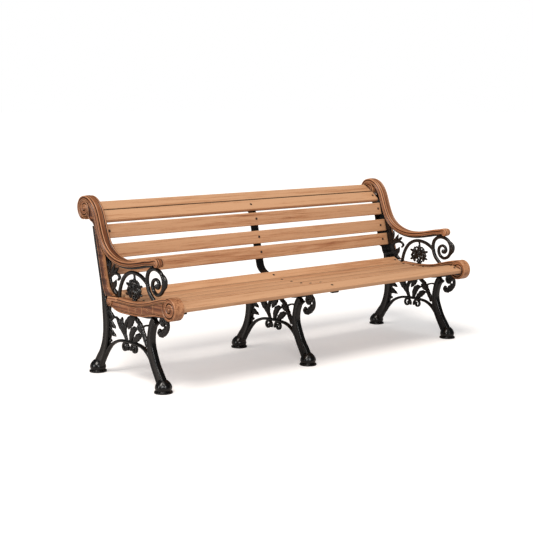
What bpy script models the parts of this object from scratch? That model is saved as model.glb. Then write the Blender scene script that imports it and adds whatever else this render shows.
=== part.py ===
"""Garden bench: cast-iron end frames, a centre leg and brace, hardwood slats, rails and trims.

X runs along the bench, -Y is the front, +Z is up, and the floor is Z = 0. Each side piece is drawn
as a pattern in the (y, z) plane and given its thickness along X. Metres.
"""

import math

import bmesh
import bpy
import numpy as np
from mathutils import Matrix

# ---- Driving dimensions -------------------------------------------------------------------------
LENGTH = 2.055            # over the outer faces of the two arm rails
BED_HEIGHT = 0.378        # top of the iron under the seat slats, at its lowest
RAIL_WIDTH = 0.055        # arm rails and seat trims, along X
RAIL_DEPTH = 0.027        # arm rail, across its length
SLAT_THICKNESS = 0.022
BACK_SLAT_WIDTH = 0.070
SEAT_SLATS = 7
SEAT_SLAT_GAP = 0.008
BACK_LEAN = math.radians(13.4)
CENTRE_LEG_X = -0.085     # the centre leg stands beside the centre brace
LEG_SPREAD = 0.567        # from the middle of a front foot to the middle of its rear foot

WEB = 0.012               # flat iron of the end frames, along X
LEG_THICKNESS = 0.034
STRAP = 0.008             # iron that the slats lie on
STRAP_REACH = 0.060       # how far it runs inboard of an end frame's middle plane
NECK_REACH = 0.042        # the same, between the seat and the lowest back slat
BRACE_WIDTH = 0.050
ARM_STRIP = 0.011         # iron under the arm rail, across its length
FOOT_RADIUS = 0.044
BACK_TRIM_THICKNESS = 0.018

BOLT_RADIUS = 0.003
BOLT_HEAD_RADIUS = 0.0068
BOLT_HEAD_HEIGHT = 0.0036
NUT_RADIUS = 0.0062
NUT_HEIGHT = 0.005
BOLT_CLEARANCE = 0.0006
GAP = 0.0003              # between pieces that touch

# ---- Sizes worked out from them -----------------------------------------------------------------
HALF_RAIL = RAIL_WIDTH / 2
END_X = LENGTH / 2 - HALF_RAIL          # middle plane of an end frame
SLAT_END = HALF_RAIL + GAP              # slats stop at the rails' inner faces
LOW_SLAT_END = WEB / 2 + GAP            # below the arm rail they run on to the iron
BOLT_INSET = STRAP_REACH - 0.009
BOLT_SIDES = 8

# The pattern was drawn for this bed height; a taller or lower bench stretches its legs.
PATTERN_BED = 0.378
# Lengths of the three runs of the back, bottom to top, from the slats that they carry.
BACK_FIRST = 0.052                      # bend to the lowest slat
BACK_GAPS = (0.014, 0.0305)             # between the three flat slats, bottom to top
BACK_RUN = BACK_FIRST + 3 * BACK_SLAT_WIDTH + sum(BACK_GAPS) + 0.0045
TOP_LEANS = (math.radians(51.0), math.radians(60.0))
TOP_RUNS = (BACK_SLAT_WIDTH + 0.0002, BACK_SLAT_WIDTH + 0.0125)
PATTERN_RUN = 0.3080


def stretch(points):
    """Moves pattern points (y, z, ...) to where this bench's seat height and back length put them."""
    points = np.array(points, float)
    y, z = points[:, 0].copy(), points[:, 1].copy()
    rise = BED_HEIGHT - PATTERN_BED
    longer = BACK_RUN - PATTERN_RUN
    up_back = np.clip((z - PATTERN_BED) / (PATTERN_RUN * math.cos(BACK_LEAN)), 0.0, 1.0)
    points[:, 1] = np.where(z < PATTERN_BED, z * BED_HEIGHT / PATTERN_BED, z + rise)
    points[:, 1] += up_back * longer * math.cos(BACK_LEAN)
    spread = (LEG_SPREAD - 0.567) / 2 * np.sign(y) * np.clip(1 - z / 0.2, 0.0, 1.0)
    points[:, 0] = y + up_back * longer * math.sin(BACK_LEAN) + spread
    return points


# ---- Paths in the (y, z) plane ------------------------------------------------------------------
def smooth(points, steps=2):
    """Catmull-Rom curve through rows of numbers, with `steps` points to each interval."""
    p = np.array(points, float)
    p = np.vstack([2 * p[0] - p[1], p, 2 * p[-1] - p[-2]])
    t = np.arange(steps)[:, None] / steps
    curve = []
    for a, b, c, d in zip(p[:-3], p[1:-2], p[2:-1], p[3:]):
        curve.append(0.5 * (2 * b + (c - a) * t + (2 * a - 5 * b + 4 * c - d) * t**2
                            + (3 * b - a - 3 * c + d) * t**3))
    return np.vstack(curve + [p[-2:-1]])


def bent(corners, steps=4):
    """Straight runs through corners (y, z, radius), each corner rounded by an arc of its radius."""
    path = [np.array(corners[0][:2], float)]
    for before, corner, after in zip(corners[:-2], corners[1:-1], corners[2:]):
        tip = np.array(corner[:2], float)
        back = np.array(before[:2]) - tip
        on = np.array(after[:2]) - tip
        back, on = back / np.linalg.norm(back), on / np.linalg.norm(on)
        half = math.acos(max(-1.0, min(1.0, float(back @ on)))) / 2
        reach = corner[2] / math.tan(half)
        middle = (back + on) / np.linalg.norm(back + on)
        centre = tip + middle * corner[2] / math.sin(half)
        start, end = tip + back * reach - centre, tip + on * reach - centre
        turn = math.atan2(start[0] * end[1] - start[1] * end[0], float(start @ end))
        for k in range(steps + 1):
            a = turn * k / steps
            path.append(centre + np.array([start[0] * math.cos(a) - start[1] * math.sin(a),
                                           start[0] * math.sin(a) + start[1] * math.cos(a)]))
    path.append(np.array(corners[-1][:2], float))
    return np.array(path)


def spiral(centre, radii, angles, steps):
    """Points turning about a centre while the radius goes evenly from radii[0] to radii[1]."""
    a = np.radians(np.linspace(angles[0], angles[1], steps))
    r = np.linspace(radii[0], radii[1], steps)
    return np.column_stack([centre[0] + r * np.cos(a), centre[1] + r * np.sin(a)])


def normals(path):
    """Unit normals, to the left of the way the path runs."""
    along = np.gradient(path[:, :2], axis=0)
    along /= np.linalg.norm(along, axis=1)[:, None]
    return np.column_stack([-along[:, 1], along[:, 0]])


def beside(path, distance):
    return path[:, :2] + normals(path) * distance


def lengths(path):
    return np.concatenate([[0.0], np.cumsum(np.linalg.norm(np.diff(path, axis=0), axis=1))])


def cut_path(path, start, end, extra=()):
    """The stretch of a path between two distances along it, with a point at any extra distances."""
    s = lengths(path)
    wanted = np.unique(np.round(np.concatenate([[start, end], s, extra]), 6))
    wanted = wanted[(wanted >= round(start, 6)) & (wanted <= round(end, 6))]
    return np.column_stack([np.interp(wanted, s, path[:, 0]), np.interp(wanted, s, path[:, 1])])


def run_to(path, y):
    """Distance along a path to where it first passes y."""
    k = int(np.argmax(path[:, 0] > y))
    return float(np.interp(y, path[k - 1:k + 1, 0], lengths(path)[k - 1:k + 1]))


def arc_points(centre, radius, angles, steps):
    return spiral(centre, (radius, radius), angles, steps)


# ---- The bed: the line of iron that the slats lie on, front of the seat to top of the back ------
SEAT_FRONT = (-0.396, BED_HEIGHT + 0.0115)
SEAT_CREST = (-0.326, BED_HEIGHT + 0.0315, 0.040)
SEAT_DIP_FRONT = (-0.168, BED_HEIGHT, 0.250)
SEAT_DIP_REAR = (0.058, BED_HEIGHT, 0.120)
BACK_FOOT = (0.1965, BED_HEIGHT + 0.0653, 0.060)
SEAT_REAR_MARGIN = 0.081                # from the rear dip to the back edge of the last seat slat


def run_from(point, lean, length):
    return (point[0] + length * math.sin(lean), point[1] + length * math.cos(lean))


BACK_BEND = (*run_from(BACK_FOOT, BACK_LEAN, BACK_RUN), 0.025)
TOP_BEND = (*run_from(BACK_BEND, TOP_LEANS[0], TOP_RUNS[0]), 0.050)
TOP_END = run_from(TOP_BEND, TOP_LEANS[1], TOP_RUNS[1])
BED = bent([SEAT_FRONT, SEAT_CREST, SEAT_DIP_FRONT, SEAT_DIP_REAR, BACK_FOOT, BACK_BEND, TOP_BEND,
            TOP_END])


def distance_on_bed(corner):
    """How far along the bed the point nearest to a corner lies."""
    return float(lengths(BED)[np.argmin(np.hypot(BED[:, 0] - corner[0], BED[:, 1] - corner[1]))])


BED_REAR_DIP = distance_on_bed(SEAT_DIP_REAR)
BED_NECK = distance_on_bed(BACK_FOOT)
BED_TOP = distance_on_bed(BACK_BEND)
BED_LENGTH = float(lengths(BED)[-1])
SEAT_RUN = BED_REAR_DIP + SEAT_REAR_MARGIN
# The last slat rises steeply: its gap leaves room for the top edges, which lean together.
REAR_TURN = math.atan2(BACK_FOOT[1] - SEAT_DIP_REAR[1], BACK_FOOT[0] - SEAT_DIP_REAR[0])
REAR_SLAT_GAP = SLAT_THICKNESS * math.sin(REAR_TURN)
SEAT_SLAT_WIDTH = (SEAT_RUN - (SEAT_SLATS - 2) * SEAT_SLAT_GAP - REAR_SLAT_GAP) / SEAT_SLATS


def seated(start, end):
    """Middle and slope of a board's underside resting on the bed, and how far the bed dips below it."""
    path = cut_path(BED, start, end, [(start + end) / 2])
    along = (path[-1] - path[0]) / np.linalg.norm(path[-1] - path[0])
    up = np.array([-along[1], along[0]])
    heights = (path - path[0]) @ up
    middle = (path[0] + path[-1]) / 2 + up * (heights.max() + GAP)
    return middle, math.atan2(along[1], along[0]), heights.max() - heights.min()


def seat_slat_places():
    for k in range(SEAT_SLATS - 1):
        start = k * (SEAT_SLAT_WIDTH + SEAT_SLAT_GAP)
        yield seated(start, start + SEAT_SLAT_WIDTH)
    yield seated(SEAT_RUN - SEAT_SLAT_WIDTH, SEAT_RUN)


def back_slat_places():
    """Lowest slat first: three on the straight run, then one on each of the two bent runs."""
    start = BACK_FIRST
    for gap in (*BACK_GAPS, 0.0):
        middle = run_from(BACK_FOOT, BACK_LEAN, start + BACK_SLAT_WIDTH / 2)
        yield np.array(middle) + out_of_back(BACK_LEAN), math.pi / 2 - BACK_LEAN, 0.0
        start += BACK_SLAT_WIDTH + gap
    for corner, lean, margin in ((BACK_BEND, TOP_LEANS[0], 0.0045), (TOP_BEND, TOP_LEANS[1], 0.0090)):
        middle = run_from(corner, lean, margin + BACK_SLAT_WIDTH / 2)
        yield np.array(middle) + out_of_back(lean), math.pi / 2 - lean, 0.0


def out_of_back(lean):
    return GAP * np.array([-math.cos(lean), math.sin(lean)])


# ---- Arm rail pattern ---------------------------------------------------------------------------
VOLUTE_DISC = stretch([(0.3510, 0.8195)])[0]
VOLUTE_DISC_RADIUS = 0.0395
NOSE = stretch([(-0.2515, 0.6085)])[0]
NOSE_RADIUS = 0.0215
RAIL_LINE = smooth(stretch([
    (-0.2515, 0.6080), (-0.2150, 0.6080), (-0.1750, 0.6030), (-0.1250, 0.5930), (-0.0750, 0.5840),
    (-0.0250, 0.5785), (0.0300, 0.5785), (0.0800, 0.5870), (0.1250, 0.6035), (0.1600, 0.6260),
    (0.1880, 0.6550), (0.2080, 0.6900), (0.2230, 0.7250), (0.2365, 0.7620), (0.2520, 0.8000),
    (0.2740, 0.8340), (0.3060, 0.8590), (0.3440, 0.8695), (0.3790, 0.8595), (0.3980, 0.8320),
    (0.3955, 0.8010), (0.3775, 0.7785), (0.3585, 0.7725)]))


# ---- Meshes -------------------------------------------------------------------------------------
def mesh_from(name, points, faces):
    mesh = bpy.data.meshes.new(name)
    mesh.from_pydata([tuple(map(float, p)) for p in points], [], faces)
    shape = bmesh.new()
    shape.from_mesh(mesh)
    bmesh.ops.recalc_face_normals(shape, faces=shape.faces)
    shape.to_mesh(mesh)
    shape.free()
    return mesh


def plate(name, outline, x0, x1):
    """An outline in (y, z), filled and given thickness from x0 to x1."""
    n = len(outline)
    points = [(x, y, z) for x in (x0, x1) for y, z in np.array(outline)[:, :2]]
    faces = [tuple(range(n)), tuple(range(2 * n - 1, n - 1, -1))]
    faces += [(k, (k + 1) % n, n + (k + 1) % n, n + k) for k in range(n)]
    return mesh_from(name, points, faces)


def bar(name, path, widths, x0, x1):
    """A bar that follows a path in (y, z), `widths` across it and from x0 to x1 thick."""
    side = normals(path) * (np.broadcast_to(widths, len(path)) / 2)[:, None]
    x0, x1 = np.broadcast_to(x0, len(path)), np.broadcast_to(x1, len(path))
    points = []
    for left, right, near, far in zip(path[:, :2] + side, path[:, :2] - side, x0, x1):
        points += [(near, *left), (far, *left), (far, *right), (near, *right)]
    faces = [(0, 1, 2, 3), tuple(4 * (len(path) - 1) + k for k in (3, 2, 1, 0))]
    for k in range(0, 4 * (len(path) - 1), 4):
        faces += [(k + c, k + (c + 1) % 4, k + 4 + (c + 1) % 4, k + 4 + c) for c in range(4)]
    return mesh_from(name, points, faces)


def turned(name, profile, sides):
    """A profile of (radius, height) turned about the Z axis; it starts and ends on the axis."""
    points, rings = [], []
    for radius, height in profile:
        count = sides if radius > 0 else 1
        rings.append(range(len(points), len(points) + count))
        points += [(radius * math.cos(2 * math.pi * k / sides),
                    radius * math.sin(2 * math.pi * k / sides), height) for k in range(count)]
    faces = []
    for low, high in zip(rings[:-1], rings[1:]):
        for k in range(sides):
            n = (k + 1) % sides
            corners = [low[k % len(low)], low[n % len(low)], high[n % len(high)], high[k % len(high)]]
            faces.append(tuple(dict.fromkeys(corners)))
    return mesh_from(name, points, faces)


def shade(mesh):
    mesh.shade_smooth()
    mesh.set_sharp_from_angle(angle=math.radians(35))


# ---- Scene --------------------------------------------------------------------------------------
for old in list(bpy.data.objects):
    bpy.data.objects.remove(old, do_unlink=True)


def material(name, colour, roughness, metallic=0.0):
    made = bpy.data.materials.new(name)
    made.use_nodes = True
    shader = made.node_tree.nodes["Principled BSDF"]
    shader.inputs["Base Color"].default_value = (*colour, 1.0)
    shader.inputs["Roughness"].default_value = roughness
    shader.inputs["Metallic"].default_value = metallic
    return made


TIMBER = material("oiled_hardwood", (0.56, 0.28, 0.13), 0.45)
DARK_TIMBER = material("oiled_hardwood_rail", (0.42, 0.18, 0.08), 0.45)
IRON = material("black_cast_iron", (0.022, 0.020, 0.019), 0.42)
STEEL = material("black_steel_bolt", (0.05, 0.045, 0.04), 0.4, 0.8)

HELPERS = bpy.data.collections.new("helpers")
bpy.context.scene.collection.children.link(HELPERS)


def add(name, mesh, finish, parent=None):
    made = bpy.data.objects.new(name, mesh)
    bpy.context.scene.collection.objects.link(made)
    if not mesh.materials:
        mesh.materials.append(finish)
    made.parent = parent
    return made


def helper(name, mesh, group):
    """A cutter or a piece that a Boolean joins: it isn't a part of the bench by itself."""
    made = bpy.data.objects.new(name, mesh)
    group.objects.link(made)
    made.hide_render = True
    made.display_type = "WIRE"
    made.parent = BENCH
    return made


def helper_group(name):
    group = bpy.data.collections.new(name)
    HELPERS.children.link(group)
    return group


def boolean(obj, operation, group):
    step = obj.modifiers.new(operation.lower(), "BOOLEAN")
    step.operation = operation
    step.operand_type = "COLLECTION"
    step.collection = group
    step.solver = "EXACT"


def ellipse_of(path):
    return np.array(path).min(axis=0), np.array(path).max(axis=0)


# The bench stands with the middle of its depth on the origin.
TRIM_ROLL = stretch([(-0.365, 0.407)])[0]
TRIM_ROLL_RADIUS = 0.054
DEPTH_MIDDLE = (TRIM_ROLL[0] - TRIM_ROLL_RADIUS
                + float((RAIL_LINE[:, 0] + RAIL_DEPTH / 2 * np.abs(normals(RAIL_LINE)[:, 0])).max())) / 2
BENCH = bpy.data.objects.new("bench", None)
BENCH.location = (0.0, -DEPTH_MIDDLE, 0.0)
bpy.context.scene.collection.objects.link(BENCH)


# ---- Cast iron ----------------------------------------------------------------------------------
# Members below the seat, shared by the end frames and the centre leg: (y, z, width) along each.
FRONT_LEG = [(-0.228, 0.337, 0.046), (-0.207, 0.312, 0.040), (-0.192, 0.262, 0.037),
             (-0.190, 0.215, 0.042), (-0.202, 0.165, 0.052), (-0.226, 0.115, 0.054),
             (-0.252, 0.075, 0.058), (-0.277, 0.036, 0.066)]
REAR_LEG = [(0.187, 0.350, 0.050), (0.188, 0.280, 0.050), (0.190, 0.220, 0.047),
            (0.201, 0.165, 0.048), (0.222, 0.115, 0.052), (0.249, 0.075, 0.058),
            (0.277, 0.036, 0.066)]
ARCH = [(-0.212, 0.110, 0.020), (-0.168, 0.160, 0.017), (-0.120, 0.188, 0.015),
        (-0.060, 0.1965, 0.015), (0.020, 0.1965, 0.015), (0.085, 0.189, 0.015),
        (0.143, 0.164, 0.016), (0.184, 0.126, 0.018), (0.212, 0.090, 0.020)]
RING = [(-0.160, 0.200, 0.022), (-0.130, 0.248, 0.026), (-0.107, 0.285, 0.027),
        (-0.080, 0.311, 0.023), (-0.040, 0.3265, 0.020), (-0.002, 0.310, 0.020),
        (0.024, 0.280, 0.022), (0.036, 0.245, 0.024), (0.018, 0.198, 0.020)]
RING_LEAVES = {
    "low_leaf": [(-0.106, 0.245, 0.008), (-0.082, 0.236, 0.022), (-0.056, 0.214, 0.018),
                 (-0.040, 0.196, 0.012)],
    "mid_leaf": [(-0.070, 0.268, 0.006), (-0.044, 0.264, 0.020), (-0.027, 0.238, 0.024),
                 (-0.020, 0.198, 0.014)],
    "top_leaf": [(-0.036, 0.322, 0.020), (-0.018, 0.292, 0.024), (0.002, 0.268, 0.008)],
}
SPRIG = {
    "stem": [(0.026, 0.218, 0.014), (0.050, 0.247, 0.020), (0.076, 0.274, 0.024),
             (0.100, 0.300, 0.010)],
    "tip": [(0.052, 0.250, 0.012), (0.061, 0.280, 0.016), (0.058, 0.305, 0.006)],
    "curl": [(0.084, 0.282, 0.014), (0.108, 0.301, 0.012), (0.138, 0.294, 0.012),
             (0.172, 0.268, 0.016)],
    "tooth_low": [(0.182, 0.232, 0.030), (0.152, 0.220, 0.022), (0.121, 0.210, 0.006)],
    "tooth_mid": [(0.178, 0.275, 0.030), (0.150, 0.262, 0.022), (0.123, 0.250, 0.006)],
    "tooth_top": [(0.176, 0.320, 0.030), (0.150, 0.308, 0.016), (0.133, 0.300, 0.006)],
}
LEG_CURL = [(-0.205, 0.296, 0.014), (-0.170, 0.302, 0.010), (-0.140, 0.297, 0.010),
            (-0.110, 0.283, 0.014)]
DROP = [(-0.298, 0.336), (-0.289, 0.323), (-0.275, 0.329), (-0.271, 0.345), (-0.284, 0.358),
        (-0.305, 0.359), (-0.322, 0.343), (-0.326, 0.318), (-0.316, 0.296), (-0.296, 0.281),
        (-0.272, 0.272), (-0.254, 0.281), (-0.263, 0.297)]
DROP_TAB = [(-0.281, 0.345, 0.014), (-0.268, 0.376, 0.020)]
SPIRALS = [((-0.047, 0.1675), (-20, 380)), ((0.032, 0.1655), (200, -200))]

# On the end frames the rear leg runs on up the back edge of the post as a thick rib.
REAR_RIB = [(0.281, 0.735, 0.020), (0.273, 0.700, 0.022), (0.262, 0.650, 0.022),
            (0.249, 0.595, 0.022), (0.2265, 0.500, 0.022), (0.2115, 0.435, 0.024),
            (0.2020, 0.385, 0.034), (0.194, 0.335, 0.045)]

# Members above the seat, on the end frames only.
ARM_SCROLL = [(-0.246, 0.370), (-0.240, 0.398), (-0.215, 0.426), (-0.180, 0.460), (-0.162, 0.505),
              (-0.167, 0.547), (-0.193, 0.5705), (-0.232, 0.577), (-0.270, 0.564), (-0.291, 0.536),
              (-0.293, 0.500), (-0.277, 0.471), (-0.247, 0.458), (-0.219, 0.468), (-0.205, 0.492),
              (-0.210, 0.517), (-0.231, 0.529), (-0.252, 0.522), (-0.260, 0.503), (-0.249, 0.490),
              (-0.236, 0.496)]
ARM_ARCH = [(-0.170, 0.494, 0.018), (-0.135, 0.518, 0.019), (-0.098, 0.5335, 0.019),
            (-0.050, 0.540, 0.019), (-0.008, 0.533, 0.019), (0.030, 0.511, 0.020),
            (0.056, 0.477, 0.020), (0.072, 0.440, 0.020), (0.078, 0.405, 0.020),
            (0.078, 0.362, 0.020)]
THUMB = [(-0.286, 0.552, 0.008), (-0.303, 0.536, 0.018), (-0.308, 0.513, 0.020),
         (-0.293, 0.488, 0.010)]
VINE_STEM = [(-0.050, 0.540, 0.012), (-0.057, 0.512, 0.010), (-0.053, 0.480, 0.016)]
POST_SPRIG = {
    "high_curl": [(0.175, 0.495, 0.020), (0.140, 0.511, 0.013), (0.110, 0.519, 0.012),
                  (0.086, 0.516, 0.012), (0.073, 0.502, 0.012), (0.084, 0.490, 0.010)],
    "thorn": [(0.118, 0.556, 0.006), (0.130, 0.533, 0.012), (0.156, 0.500, 0.016)],
    "leaf": [(0.172, 0.462, 0.036), (0.142, 0.446, 0.036), (0.120, 0.462, 0.018),
             (0.108, 0.478, 0.006)],
    "low_leaf": [(0.170, 0.442, 0.030), (0.130, 0.428, 0.018), (0.108, 0.421, 0.006)],
}
POST = [(0.187, 0.330, 0.050), (0.180, 0.380, 0.070), (0.176, 0.430, 0.084), (0.1965, 0.500, 0.084),
        (0.2205, 0.595, 0.080)]
POST_TOP = [(0.2205, 0.590, 0.078), (0.2400, 0.650, 0.066), (0.2590, 0.700, 0.052),
            (0.2725, 0.742, 0.043), (0.2960, 0.765, 0.034), (0.3160, 0.779, 0.018)]
VINE_CENTRE, VINE_RADIUS, VINE_LOBES = (-0.052, 0.456), 0.050, 5
FOOT_PROFILE = [(0.0, 0.0), (FOOT_RADIUS, 0.0), (FOOT_RADIUS, 0.008), (0.037, 0.013),
                (0.042, 0.026), (0.039, 0.042), (0.028, 0.058), (0.0, 0.064)]
FOOT_SIDES = 12


def member(name, rows, thickness, group, x_of, steps=2):
    rows = smooth(rows, steps)
    rows = np.column_stack([stretch(rows[:, :2]), rows[:, 2]])
    x0, x1 = x_of(-thickness / 2), x_of(thickness / 2)
    helper(name, bar(name, rows[:, :2], rows[:, 2], min(x0, x1), max(x0, x1)), group)


def vine_leaf():
    """A lobed leaf: the radius swells and pinches once for each lobe."""
    a = np.radians(np.arange(0, 360, 12))
    r = VINE_RADIUS * (1 + 0.22 * np.cos(VINE_LOBES * (a - math.pi / 2)))
    points = np.column_stack([VINE_CENTRE[0] + 1.25 * r * np.cos(a), VINE_CENTRE[1] + 0.9 * r * np.sin(a)])
    return stretch(points)


def leg_members(name, group, x_of, rear_leg):
    """What every frame has below its seat: legs, feet, arch, scrolls and leaves."""
    member(f"{name}_front_leg", FRONT_LEG, LEG_THICKNESS, group, x_of)
    member(f"{name}_rear_leg", rear_leg, LEG_THICKNESS - 0.001, group, x_of)
    member(f"{name}_arch", ARCH, 0.022, group, x_of)
    member(f"{name}_ring", RING, 0.018, group, x_of)
    for k, (part, rows) in enumerate({**RING_LEAVES, **SPRIG}.items()):
        member(f"{name}_{part}", rows, 0.0135 + 0.0004 * (k % 4), group, x_of, 1)
    member(f"{name}_leg_curl", LEG_CURL, 0.0145, group, x_of, 1)
    member(f"{name}_drop_tab", DROP_TAB, 0.0105, group, x_of)
    drop = [(*p, 0.016) for p in DROP]
    member(f"{name}_drop", drop, 0.0150, group, x_of, 1)
    for k, (centre, angles) in enumerate(SPIRALS):
        rows = [(*p, 0.012) for p in spiral(centre, (0.0265, 0.008), angles, 12)]
        member(f"{name}_spiral_{k}", rows, 0.0155 + 0.0005 * k, group, x_of, 1)
    for place in (-LEG_SPREAD / 2, LEG_SPREAD / 2):
        foot = helper(f"{name}_foot", turned(f"{name}_foot", FOOT_PROFILE, FOOT_SIDES), group)
        foot.location = (x_of(0.0), place, 0.0)


def strap(name, start, end, stations, group, x_of):
    """Iron along the bed. Each station is (distance, outer edge, inner edge), both inboard."""
    stations = np.array(stations)
    path = cut_path(BED, start, end, stations[:, 0])
    s = lengths(path) + start
    outer = x_of(np.interp(s, stations[:, 0], stations[:, 1]))
    inner = x_of(np.interp(s, stations[:, 0], stations[:, 2]))
    helper(name, bar(name, beside(path, -STRAP / 2), STRAP, outer, inner), group)


def finish_casting(name, base, group, drills):
    made = add(name, base, IRON, BENCH)
    boolean(made, "UNION", group)
    boolean(made, "DIFFERENCE", drills)
    return made


def seat_web(name, x0, x1, start, end):
    path = cut_path(BED, start, end)
    return bar(name, beside(path, -0.0242), 0.0370, x0, x1)


def end_frame(name, side, drills):
    """side is -1 for the left end and 1 for the right. x_of(0) is the frame's middle plane."""
    def x_of(inboard):
        return side * (END_X - inboard)

    group = helper_group(f"{name}_members")
    leg_members(name, group, x_of, REAR_RIB + REAR_LEG[1:])
    member(f"{name}_post", POST, WEB + 0.001, group, x_of)
    member(f"{name}_post_top", POST_TOP, WEB, group, x_of)
    arm = [(*p, width) for p, width in zip(ARM_SCROLL, np.linspace(0.021, 0.014, len(ARM_SCROLL)))]
    member(f"{name}_arm_scroll", arm, 0.0160, group, x_of, 1)
    member(f"{name}_arm_arch", ARM_ARCH, 0.0150, group, x_of)
    member(f"{name}_thumb", THUMB, 0.0170, group, x_of, 1)
    member(f"{name}_vine_stem", VINE_STEM, 0.0110, group, x_of, 1)
    leaf = plate(f"{name}_vine_leaf", vine_leaf(), *sorted((x_of(-0.0065), x_of(0.0065))))
    helper(f"{name}_vine_leaf", leaf, group)
    for k, (part, rows) in enumerate(POST_SPRIG.items()):
        member(f"{name}_post_{part}", rows, 0.0142 + 0.0004 * k, group, x_of, 1)
    under_rail = beside(RAIL_LINE, -RAIL_DEPTH / 2 - GAP - ARM_STRIP / 2)
    for part, start, end, depth, half in (("arm_strip", -0.218, 0.176, ARM_STRIP, 0.013),
                                          ("back_strip", 0.165, 0.236, ARM_STRIP - 0.0008, 0.0058)):
        path = cut_path(under_rail, run_to(under_rail, start), run_to(under_rail, end))
        helper(f"{name}_{part}", bar(f"{name}_{part}", path, depth, x_of(-half), x_of(half)), group)
    clear = SLAT_END + 0.001
    strap(f"{name}_strap", 0.002, BED_LENGTH - 0.002, [
        (0.0, clear, STRAP_REACH), (WEB_START, clear, STRAP_REACH),
        (WEB_START + 0.004, -0.002, STRAP_REACH), (SEAT_RUN, -0.002, STRAP_REACH),
        (SEAT_RUN + 0.012, -0.002, NECK_REACH), (BED_NECK + BACK_FIRST - 0.012, -0.002, NECK_REACH),
        (BED_NECK + BACK_FIRST, -0.002, STRAP_REACH), (BED_TOP - 0.006, -0.002, STRAP_REACH),
        (BED_TOP - 0.002, clear, STRAP_REACH), (BED_LENGTH, clear, STRAP_REACH)], group, x_of)
    base = seat_web(name, x_of(-WEB / 2), x_of(WEB / 2), WEB_START, BED_NECK - 0.010)
    return finish_casting(name, base, group, drills)


def centre_leg(name, drills):
    def x_of(inboard):
        return CENTRE_LEG_X + inboard

    group = helper_group(f"{name}_members")
    leg_members(name, group, x_of, REAR_LEG)
    strap(f"{name}_strap", WEB_START, CENTRE_STRAP_END, [(0.0, -0.02, 0.02)], group, x_of)
    base = seat_web(name, x_of(-WEB / 2), x_of(WEB / 2), WEB_START + 0.002, CENTRE_STRAP_END - 0.002)
    return finish_casting(name, base, group, drills)


def centre_brace(name, drills):
    """A flat bar under the middle of the seat that bends up behind the back."""
    path = cut_path(BED, 0.002, BED_LENGTH - 0.002)
    mesh = bar(name, beside(path, -STRAP / 2), STRAP, -BRACE_WIDTH / 2, BRACE_WIDTH / 2)
    made = add(name, mesh, IRON, BENCH)
    boolean(made, "DIFFERENCE", drills)


WEB_START = distance_on_bed(SEAT_CREST) + 0.024      # the iron starts behind the trim's front roll
CENTRE_STRAP_END = BED_REAR_DIP + 0.060


# ---- Timber -------------------------------------------------------------------------------------
def board(name, length, width):
    """A slat with its long edges eased, lying along X with its underside at z = 0."""
    ease = 0.0025
    half = width / 2
    outline = [(-half + ease, 0), (half - ease, 0), (half, ease), (half, SLAT_THICKNESS - ease),
               (half - ease, SLAT_THICKNESS), (-half + ease, SLAT_THICKNESS),
               (-half, SLAT_THICKNESS - ease), (-half, ease)]
    return plate(name, outline, -length / 2, length / 2)


def arm_rail(name, side):
    x = side * END_X
    group = helper_group(f"{name}_members")
    disc = arc_points(VOLUTE_DISC, VOLUTE_DISC_RADIUS, (5, 350), 24)
    helper(f"{name}_disc", plate(f"{name}_disc", disc, x - HALF_RAIL + 0.0005, x + HALF_RAIL - 0.0005), group)
    nose = arc_points(NOSE, NOSE_RADIUS, (0, 337.5), 16)
    helper(f"{name}_nose", plate(f"{name}_nose", nose, x - HALF_RAIL + 0.0007, x + HALF_RAIL - 0.0007), group)
    made = add(name, bar(name, RAIL_LINE, RAIL_DEPTH, x - HALF_RAIL, x + HALF_RAIL), DARK_TIMBER, BENCH)
    boolean(made, "UNION", group)


TRIM_TOP = smooth(stretch([(0.150, 0.404), (0.100, 0.4075), (0.000, 0.406), (-0.050, 0.4055),
                           (-0.100, 0.408), (-0.150, 0.414), (-0.200, 0.424), (-0.250, 0.438),
                           (-0.300, 0.450), (-0.345, 0.458)]))
TRIM_FOOT = smooth(stretch([(-0.325, 0.366), (-0.280, 0.362), (-0.240, 0.359), (-0.140, 0.342),
                            (-0.040, 0.337), (0.040, 0.337), (0.085, 0.345), (0.115, 0.355)]))
TRIM_BOSS = stretch([(0.134, 0.380)])[0]
TRIM_BOSS_RADIUS = 0.022
CAP_DEPTH = 0.021


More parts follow.
